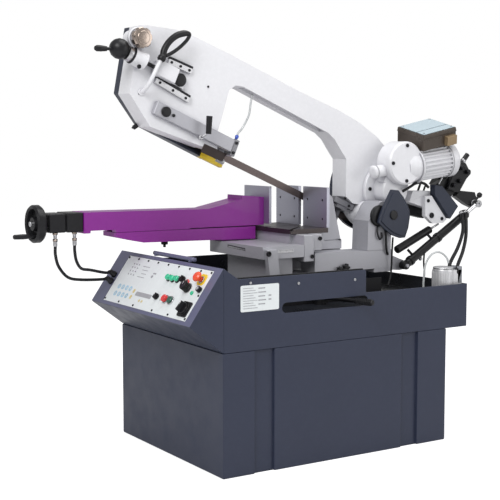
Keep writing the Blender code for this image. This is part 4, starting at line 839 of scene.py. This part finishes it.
bow_piece("tension_scale_sleeve", "zinc",
          washer(0.0266, 0.0300, 0.018, (-0.9100, -0.050, 1.080), RIGHT, 48), "tension_screw")
bow_piece("nose_web", "white",
          prism([(-0.862, 1.115), (-0.772, 1.100), (-0.772, 1.078), (-0.840, 1.085)],
                BOW_FRONT - 0.010, BEHIND_FACE), bevel=0.004)
bow_piece("band_exit_plate", "exit",
          prism([(-0.4470, 0.9043), (-0.3333, 0.9078), (-0.3422, 0.8696), (-0.4506, 0.8665)],
                BOW_FRONT - 0.0012, BEHIND_FACE), bevel=0.0004)

# ------------------------------------------------------------ bow: blade guides
bow_piece("coolant_line_guide", "clear",
          tube([(-0.3210, -0.028, 0.9950), (-0.3205, -0.027, 1.006), (-0.300, -0.010, 1.040),
                (-0.285, 0.004, 1.100), (-0.292, 0.010, 1.150), (-0.300, 0.012, 1.1890)],
               0.0042, 12, 10))
bow_piece("coolant_nipple", "blue",
          lathe([(0.0058, 0), (0.0058, 0.008), (0.0078, 0.010), (0.0078, 0.018),
                 (0.0050, 0.021)], (-0.3212, -0.028, 0.9742), UP, 10), "guide")
bow_piece("left_guide_bolts", "oxide",
          lathes([(0.0065, 0), (0.0065, 0.005), (0.0050, 0.006)],
                 [(-0.3215, -0.0452, z) for z in (0.918, 0.960)], FRONT, 6), "guide")
ROLLERS = ((0.0700, 0.890), (0.0700, 0.926), (0.1010, 0.890))  # y, z
bow_piece("left_guide_rollers", "zinc",
          join([washer(0.0040, 0.0115, 0.009, (-0.2948, y, z), RIGHT, 24)
                for y, z in ROLLERS]), "guide")
bow_piece("left_guide_roller_pins", "oxide",
          lathes([(0.0038, 0), (0.0038, 0.011), (0.0020, 0.012)],
                 [(-0.2950, y, z) for y, z in ROLLERS], RIGHT, 12), "guide")
bow_piece("left_guide_jaw_screws", "zinc",
          screws([(x, 0.0578, z) for x, z in ((-0.3240, 0.888), (-0.3040, 0.888),
                                              (-0.3240, 0.912))], FRONT, 0.0042, 0.003),
          "guide")
for tag, x0, x1, z0, z1 in (("left", -0.3985, -0.3925, 0.8765, 0.9045),
                            ("right", -0.3500, -0.3410, 0.8845, 0.9120)):
    bow_piece("guard_tab_" + tag, "yellow", box(x0, x1, 0.0515, 0.0545, z0, z1), "guide",
              bevel=0.0006)
# These screws are placed directly in the raised position.
piece("right_guide_screws", "oxide",
      screws([(0.3264, -0.0052, 1.0160), (0.3493, -0.0052, 0.9819)], FRONT, 0.0060, 0.004),
      "bow")
bow_piece("cover_hinge_knob", "black",
          lathe([(0.0085, 0), (0.0085, 0.010), (0.0060, 0.014)],
                (-0.7157, 0.0790, 0.8596), FRONT, 20))
bow_piece("cover_hinge_tab", "black",
          prism([(-0.7237, 0.8516), (-0.7077, 0.8516), (-0.6780, 0.8960), (-0.7040, 0.9050)],
                0.0790, 0.0840), bevel=0.0008)

# Guide clamp lever, also placed in the raised position.
GRIP_TOP = Vector((-0.4067, -0.0850, 1.3653))
GRIP_LOW = Vector((-0.4115, -0.0850, 1.2945))
grip = tube([GRIP_TOP, GRIP_TOP.lerp(GRIP_LOW, 0.35), GRIP_TOP.lerp(GRIP_LOW, 0.7), GRIP_LOW],
            lambda f: 0.0125 - 0.0015 * f, 6, 6)
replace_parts(piece("clamp_lever_grip", "black", grip, "guide_clamp"), "guide_clamp_lever")
piece("clamp_lever_stem", "zinc",
      join([tube([(-0.4102, -0.0750, 1.2984), (-0.4291, -0.0600, 1.2807)], 0.0042, 12, 4),
            lathe([(0.0100, 0), (0.0100, 0.012), (0.0075, 0.015)],
                  (-0.4291, -0.0452, 1.2807), FRONT, 24)]), "guide_clamp")

# ------------------------------------------------- bow: handle and lock knob
HANDLE_Y = -0.084
HANDLE_LOOP = [  # x, z
    (-0.781, 1.122), (-0.786, 1.150), (-0.779, 1.186), (-0.760, 1.221), (-0.734, 1.244),
    (-0.712, 1.252), (-0.7075, 1.240), (-0.716, 1.213), (-0.733, 1.180), (-0.752, 1.152),
    (-0.772, 1.130)]


def handle_radius(f):
    """Thick on the outer limb, thinning quickly to the inner one."""
    return 0.0128 - 0.0056 * min(1.0, max(0.0, f - 0.40) / 0.16)


loop = tube([(x, HANDLE_Y, z) for x, z in HANDLE_LOOP], handle_radius, 18, 8)
foot = lathe([(0.0120, 0.0), (0.0165, 0.006), (0.0165, 0.016), (0.0130, 0.024),
              (0.0080, 0.028)], (-0.7845, HANDLE_Y, 1.104), (0.10, 0, 1), 28)
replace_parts(bow_piece("handle_grip_loop", "black", join([loop, foot])), "bow_handle")
bow_piece("handle_stalk", "white",
          tube([(-0.784, -0.0205, 0.976), (-0.786, -0.046, 0.984), (-0.7885, -0.068, 1.006),
                (-0.7895, -0.081, 1.040), (-0.7875, HANDLE_Y, 1.078),
                (-0.7845, HANDLE_Y, 1.108)], 0.0082, 18, 8))
bow_piece("handle_stalk_foot", "white",
          lathe([(0.0150, 0), (0.0150, 0.002), (0.0110, 0.006)],
                (-0.784, -0.0202, 0.976), FRONT, 28))
bow_piece("lock_hub_ring", "white",
          ring(rim(0.0353, 0.0430, 0.010, 0.0400, 0.013), (-0.890, -0.0455, 1.150), FRONT, 48))
bow_piece("lock_knob_face", "bronze",
          lathe([(0.0250, 0), (0.0250, 0.0014), (0.0225, 0.0026), (0.0080, 0.0034)],
                (-0.890, -0.1004, 1.150), FRONT, 40), BODY["lock_knob"])

# ---------------------------------------------------- bow: gearbox and motor
COVER_SCREW_CIRCLE, COVER_SCREW_START = 0.077, math.radians(112.7)
bow_piece("gearbox_cover_screws", "oxide",
          screws([(0.453 + COVER_SCREW_CIRCLE * math.cos(COVER_SCREW_START + a), -0.1552,
                   1.199 + COVER_SCREW_CIRCLE * math.sin(COVER_SCREW_START + a))
                  for a in around(4)], FRONT, 0.0080, 0.0040))
FLANGE_SCREWS = [  # x, z
    (0.392, 1.118), (0.462, 0.985), (0.548, 0.990), (0.395, 1.050), (0.578, 1.050)]
bow_piece("gearbox_flange_screws", "oxide",
          screws([(x, -0.0387, z) for x, z in FLANGE_SCREWS], FRONT, 0.0080, 0.0055))

MOTOR_START = Vector((0.530, -0.100, 1.220))
MOTOR_END = Vector((0.722, -0.100, 1.3325))
MOTOR_AXIS = (MOTOR_END - MOTOR_START).normalized()


def on_motor(distance):
    return MOTOR_START + MOTOR_AXIS * distance


motor_length = (MOTOR_END - MOTOR_START).length
bow_piece("worm_end_cap", "white",
          lathe([(0.0290, 0), (0.0290, 0.012), (0.0220, 0.018), (0.010, 0.019)],
                on_motor(-0.2105), -MOTOR_AXIS, 36))
bow_piece("motor_flange_ring", "white",
          washer(0.0752, 0.0825, 0.006, on_motor(0.0004), MOTOR_AXIS, 48))
bow_piece("fan_cover_band", "motor",
          ring([(0.0772, -0.032), (0.0788, -0.032), (0.0788, 0.0), (0.0772, 0.0)],
               on_motor(motor_length - 0.011), MOTOR_AXIS, 56))
bow_piece("fan_grille_rings", "junction",
          join([washer(radius, radius + 0.0030, 0.0020, on_motor(motor_length + 0.0014),
                       MOTOR_AXIS, 40) for radius in (0.016, 0.028, 0.040, 0.052)]))

# Terminal box: its top face's corners give the axes for the lid.
BACK_LEFT, BACK_RIGHT, FRONT_RIGHT, FRONT_LEFT = (Vector(p) for p in (
    (0.458, -0.020, 1.379), (0.615, -0.020, 1.489),
    (0.607, -0.185, 1.434), (0.453, -0.185, 1.325)))
LID_CENTRE = (BACK_LEFT + BACK_RIGHT + FRONT_RIGHT + FRONT_LEFT) / 4
LID_ALONG = ((BACK_RIGHT - BACK_LEFT) + (FRONT_RIGHT - FRONT_LEFT)).normalized()
forward = (FRONT_LEFT - BACK_LEFT) + (FRONT_RIGHT - BACK_RIGHT)
LID_FORWARD = (forward - LID_ALONG * forward.dot(LID_ALONG)).normalized()
LID_OUT = LID_FORWARD.cross(LID_ALONG)


def on_lid(along, forward, out):
    return LID_CENTRE + LID_ALONG * along + LID_FORWARD * forward + LID_OUT * out


def lid_block(a0, a1, f0, f1, out0, out1):
    bm = bmesh.new()
    verts = [bm.verts.new(on_lid(a, f, out)) for out in (out0, out1)
             for a, f in ((a0, f0), (a1, f0), (a1, f1), (a0, f1))]
    for face in ((0, 1, 2, 3), (4, 5, 6, 7), (0, 1, 5, 4), (1, 2, 6, 5), (2, 3, 7, 6),
                 (3, 0, 4, 7)):
        bm.faces.new([verts[i] for i in face])
    return make(bm)


bow_piece("terminal_lid_main", "lid",
          lid_block(-0.090, 0.090, -0.081, 0.030, 0.0003, 0.0030), bevel=0.0008)
bow_piece("terminal_lid_strip", "lid",
          lid_block(-0.090, 0.090, 0.036, 0.081, 0.0003, 0.0030), bevel=0.0008)
bow_piece("terminal_lid_joint", "ink",
          lid_block(-0.0935, 0.0935, 0.0310, 0.0350, 0.0002, 0.0012), smooth=False)
bow_piece("terminal_lid_screws", "zinc",
          screws([on_lid(a, f, 0.0030) for a in (-0.080, 0.080) for f in (-0.070, 0.070)],
                 LID_OUT, 0.0045, 0.0030))
bow_piece("terminal_entry_block", "brassy",
          lid_block(0.028, 0.084, 0.0828, 0.1080, -0.070, -0.028), bevel=0.002)
bow_piece("bow_cable", "rubber",
          tube([(0.5026, -0.128, 1.086), (0.530, -0.132, 1.118), (0.560, -0.120, 1.145),
                (0.600, -0.100, 1.166), (0.640, -0.086, 1.1760), (0.672, -0.080, 1.172)],
               0.0062, 12, 10))

# --------------------------------------------- bow: rear lever and hydraulics
LEVER_FRONT = -0.0952
bow_piece("rear_lever_screws", "oxide",
          screws([(0.6835, LEVER_FRONT, 1.112), (0.7925, LEVER_FRONT, 1.0680)],
                 FRONT, 0.0078, 0.0045))
bow_piece("rear_lever_pivot", "oxide",
          screws([(0.7290, LEVER_FRONT, 1.0590)], FRONT, 0.0125, 0.0050))
bow_piece("rear_balance_rod", "bright",
          tube([(0.7249, -0.079, 1.2073), (0.7392, -0.079, 1.2823)], 0.0032, 14, 4))
bow_piece("hydraulic_front_block", "blackm",
          prism([(0.772, 1.205), (0.772, 1.300), (0.806, 1.340), (0.868, 1.336),
                 (0.842, 1.215)], -0.0960, -0.0745), bevel=0.004)
bow_piece("hydraulic_valve_body", "blackm",
          prism([(0.748, 1.322), (0.8415, 1.363), (0.893, 1.330), (0.855, 1.250),
                 (0.823, 1.186), (0.760, 1.192), (0.712, 1.200), (0.770, 1.262)],
                -0.0740, -0.0345), bevel=0.004)
PLUGS = ((0.800, 1.320), (0.842, 1.318), (0.816, 1.262), (0.790, 1.232))  # x, z
bow_piece("hydraulic_plugs", "oxide",
          lathes([(0.0105, 0), (0.0105, 0.012), (0.0080, 0.014), (0.0080, 0.022)],
                 [(x, -0.0962, z) for x, z in PLUGS], FRONT, 6))
bow_piece("hydraulic_tube_nut", "zinc",
          lathe([(0.0135, 0), (0.0135, 0.018), (0.0118, 0.020)],
                (0.8700, -0.012, 1.3720), (0.025, 0, 0.071), 6))
bow_piece("arm_eye_washer", "zinc",
          washer(0.010, 0.018, 0.004, (0.9711, -0.0687, 1.2112), FRONT, 32))
bow_piece("lever_back_bracket", "blackm",
          prism([(0.655, 1.030), (0.655, 1.088), (0.740, 1.102), (0.757, 1.050)],
                -0.0200, 0.0200), bevel=0.003)
bow_piece("drive_conduits", "oxide",
          join([box(0.668, 0.676, -0.0215, -0.0140, 1.088, 1.200),
                box(0.700, 0.706, -0.0215, -0.0140, 1.095, 1.190)]), bevel=0.001)

# ---------------------------------------------------------------------- swivel
piece("pivot_end_disc", "blackm",
      lathe([(0.044, 0), (0.046, 0.002), (0.046, 0.010), (0.040, 0.014), (0.020, 0.015)],
            (0.396, -0.1505, 0.945), FRONT, 48), "swivel")
piece("guard_cap", "blackm",
      lathe([(0.020, 0), (0.020, 0.004), (0.016, 0.006)], (0.452, -0.1873, 0.948), FRONT, 28),
      "swivel")
piece("guard_spring_hook", "oxide",
      tube([(0.392, -0.152, 0.900), (0.388, -0.158, 0.870), (0.398, -0.160, 0.845),
            (0.412, -0.158, 0.852), (0.414, -0.152, 0.872)], 0.0042, 10, 8), "swivel")
piece("column_cable", "rubber",
      tube([(0.428, -0.158, 0.905), (0.432, -0.160, 0.860), (0.434, -0.160, 0.815),
            (0.440, -0.158, 0.790), (0.450, -0.153, 0.775)], 0.0050, 12, 10), "swivel")
# Knobs with five lobes around a core.
for tag, (x, y, z), r in (("a", (0.2150, -0.1502, 0.7321), 0.0125),
                          ("b", (0.1817, -0.1502, 0.7285), 0.0075)):
    lobes = lathes([(r * 0.42, 0.006), (r * 0.42, 0.020), (r * 0.30, 0.023)],
                   [(x + r * math.cos(a), y, z + r * math.sin(a)) for a in around(5)],
                   FRONT, 12)
    core = lathe([(r * 0.6, 0), (r, 0.006), (r, 0.020), (r * 0.7, 0.024)],
                 (x, y, z), FRONT, 24)
    piece("swivel_stop_knob_" + tag, "black", join([lobes, core]), "swivel")
piece("guard_cable", "rubber",
      tube([(0.4620, -0.172, 0.850), (0.4615, -0.168, 0.790), (0.4605, -0.166, 0.720),
            (0.452, -0.170, 0.675), (0.430, -0.180, 0.640)], 0.0042, 10, 8), "swivel")
piece("swivel_scale_band", "zinc",
      washer(0.1655, 0.1700, 0.010, (0.165, 0.085, 0.7165), UP, 64), "swivel")

# --------------------------------------------------------------- lift cylinder
LIFT_LOW = Vector((0.600, -0.090, 0.712))
LIFT_TOP = Vector((1.030, -0.090, 0.975))
LIFT_AXIS = (LIFT_TOP - LIFT_LOW).normalized()
LIFT_ABOVE = Vector((-LIFT_AXIS.z, 0, LIFT_AXIS.x))
CYLINDER = BODY["lift_cylinder"]


def on_lift(distance):
    return LIFT_LOW + LIFT_AXIS * distance


for tag, distance in (("bottom", 0.030), ("mid", 0.215), ("top", 0.404)):
    piece("cylinder_collar_" + tag, "blackm",
          ring([(0.0193, 0), (0.0222, 0), (0.0226, 0.003), (0.0226, 0.013),
                (0.0222, 0.016), (0.0193, 0.016)], on_lift(distance), LIFT_AXIS, 40), CYLINDER)
RESERVE_LOW = Vector((0.5831, -0.050, 0.7778))
RESERVE_TOP = Vector((0.7796, -0.050, 0.8642))
reserve = RESERVE_TOP - RESERVE_LOW
piece("reserve_tube", "blackm",
      lathe([(0.0150, 0), (0.0180, 0.004), (0.0180, reserve.length - 0.004),
             (0.0150, reserve.length)], RESERVE_LOW, reserve, 28), CYLINDER)
piece("reserve_rod", "bright", lathe([(0.0052, 0), (0.0052, 0.055)], RESERVE_TOP, reserve, 20),
      CYLINDER)
BACKWARD = Vector((0, 1, 0))
piece("reserve_tube_links", "oxide",
      lathes([(0.006, 0), (0.006, 0.042)],
             [on_lift(d) + BACKWARD * 0.010 for d in (0.070, 0.200)],
             LIFT_ABOVE * 0.86 + BACKWARD * 0.50, 10), CYLINDER)
piece("cylinder_ports", "zinc",
      lathes([(0.0085, 0), (0.0085, 0.012), (0.0070, 0.014)],
             [on_lift(d) - LIFT_ABOVE * 0.0185 for d in (0.090, 0.385)], -LIFT_ABOVE, 6),
      CYLINDER)
piece("rod_wiper", "zinc",
      ring([(0.0106, 0), (0.0160, 0), (0.0150, 0.006), (0.0106, 0.007)],
           on_lift(0.4253), LIFT_AXIS, 32), CYLINDER)
piece("rod_eye_nut", "zinc",
      lathe([(0.0065, 0), (0.0065, 0.004), (0.0050, 0.006)],
            LIFT_TOP + Vector((0, -0.0222, 0)), FRONT, 6), BODY["lift_rod"])
LIFT_HOSES = {
    "a": [(0.9171, -0.1120, 0.9324), (0.8520, -0.1900, 0.8654), (0.7413, -0.2800, 0.8025),
          (0.6307, -0.3520, 0.7426)],
    "b": [(0.9417, -0.1120, 0.9361), (0.8712, -0.1900, 0.8456), (0.7706, -0.2800, 0.7834),
          (0.6436, -0.3850, 0.7342)],
}
for tag, points in LIFT_HOSES.items():
    tail = tuple(Vector(points[-1]) + Vector((-0.010, -0.006, -0.045)))
    hose("lift_hose_" + tag, points + [tail], 0.0078)
piece("lift_hose_nuts", "zinc",
      lathes([(0.0100, 0), (0.0100, 0.014)], [points[0] for points in LIFT_HOSES.values()],
             (0, 0.6, 0.5), 6), CYLINDER)
piece("tray_cable_drop", "rubber",
      tube([(0.6185, -0.2000, 0.7847), (0.6165, -0.1980, 0.7338), (0.6204, -0.2000, 0.6829),
            (0.6104, -0.2000, 0.640)], 0.0040, 10, 8))

# --------------------------------------------------- coolant pump and tray parts
PUMP_X, PUMP_Y, RIB_CIRCLE = 0.585, -0.360, 0.0462
piece("pump_ribs", "alu",
      lathes([(0.0019, 0), (0.0019, 0.100), (0.0008, 0.103)],
             [(PUMP_X + RIB_CIRCLE * math.cos(a), PUMP_Y + RIB_CIRCLE * math.sin(a), 0.6120)
              for a in around(28)], UP, 8))
piece("pump_cap", "alu",
      lathe([(0.0440, 0), (0.0440, 0.004), (0.0400, 0.0065)], (PUMP_X, PUMP_Y, 0.7262), UP, 48))
piece("coolant_return_tube", "clear",
      tube([(0.502, -0.330, 0.6020), (0.503, -0.330, 0.680), (0.512, -0.331, 0.745),
            (0.545, -0.333, 0.786), (0.585, -0.337, 0.792), (0.618, -0.344, 0.768),
            (0.628, -0.352, 0.728)], 0.0045, 12, 10))
TRAY_HOSE = ((0.500, -0.230), (0.400, -0.300), (0.300, -0.310), (0.240, -0.330),
             (0.200, -0.360))  # x, y
piece("tray_hose", "rubber", tube([(x, y, 0.6055) for x, y in TRAY_HOSE], 0.0052, 12, 10))
LEVER_HUB, LEVER_END = Vector((0.020, -0.250, 0.630)), Vector((0.100, -0.500, 0.630))
lever_axis = (LEVER_END - LEVER_HUB).normalized()
piece("lever_grip_ribs", "black",
      join([ring([(0.0126, 0), (0.0140, 0.0010), (0.0140, 0.0034), (0.0126, 0.0044)],
                 LEVER_HUB + lever_axis * (0.184 + 0.0085 * k), lever_axis, 28)
            for k in range(8)]), BODY["mitre_lock_lever"])
piece("hose_junction_box", "junction", box(0.6310, 0.6570, -0.4000, -0.3450, 0.6620, 0.7340),
      bevel=0.002)

# ----------------------------------------------------------------------- floor
floor_mesh = bpy.data.meshes.new("floor")
bm = bmesh.new()
bmesh.ops.create_grid(bm, x_segments=1, y_segments=1, size=14)
bm.to_mesh(floor_mesh)
bm.free()
floor = bpy.data.objects.new("floor", floor_mesh)
floor.location.z = -0.0005
bpy.context.scene.collection.objects.link(floor)
material, tree, shader = new_material("pale_floor")
shader["Base Color"].default_value = (0.93, 0.93, 0.94, 1)
shader["Roughness"].default_value = 0.7
shader["Specular IOR Level"].default_value = 0.2
shader["Emission Color"].default_value = (1, 1, 1, 1)
# The floor glows for the camera only, so it lights nothing.
camera_ray = tree.nodes.new("ShaderNodeLightPath").outputs["Is Camera Ray"]
tree.links.new(remap(tree, camera_ray, span=(0, 1), to=(0.0, 0.60)), shader["Emission Strength"])
floor_mesh.materials.append(material)

# ------------------------------------------------------ world, lights, camera
world = bpy.data.worlds.new("studio")
bpy.context.scene.world = world
world.use_nodes = True
tree = world.node_tree
background = tree.nodes["Background"].inputs
background["Color"].default_value = (1.0, 1.0, 1.0, 1)
# The white backdrop is full strength to the camera and half as a light.
camera_ray = tree.nodes.new("ShaderNodeLightPath").outputs["Is Camera Ray"]
tree.links.new(remap(tree, camera_ray, span=(0, 1), to=(0.50, 1.0)), background["Strength"])


def area_light(name, at, target, size, power):
    light = bpy.data.lights.new(name, "AREA")
    light.shape = "DISK"
    light.size = size
    light.energy = power
    ob = bpy.data.objects.new(name, light)
    ob.location = at
    ob.rotation_euler = (Vector(target) - Vector(at)).to_track_quat("-Z", "Y").to_euler()
    bpy.context.scene.collection.objects.link(ob)


area_light("key", at=(-3.2, -2.2, 3.6), target=(0, 0, 0.9), size=2.2, power=95)
area_light("top", at=(0.4, -0.6, 4.2), target=(0.1, 0, 0.8), size=2.6, power=55)
area_light("fill", at=(2.6, -3.6, 1.8), target=(0.3, 0, 0.9), size=2.4, power=24)

camera_data = bpy.data.cameras.new("camera")
camera = bpy.data.objects.new("camera", camera_data)
bpy.context.scene.collection.objects.link(camera)
camera.location = (-2.74003, -4.05881, 1.27575)
HEADING = math.radians(32.4138)  # from +Y towards +X
DIP = math.radians(5.4953)  # below level
view = Vector((math.sin(HEADING) * math.cos(DIP), math.cos(HEADING) * math.cos(DIP),
               -math.sin(DIP)))
camera.rotation_euler = view.to_track_quat("-Z", "Y").to_euler()
camera_data.sensor_width = 36.0
camera_data.lens = 83.263
camera_data.clip_end = 60
bpy.context.scene.camera = camera
bpy.context.scene.view_settings.view_transform = "Standard"
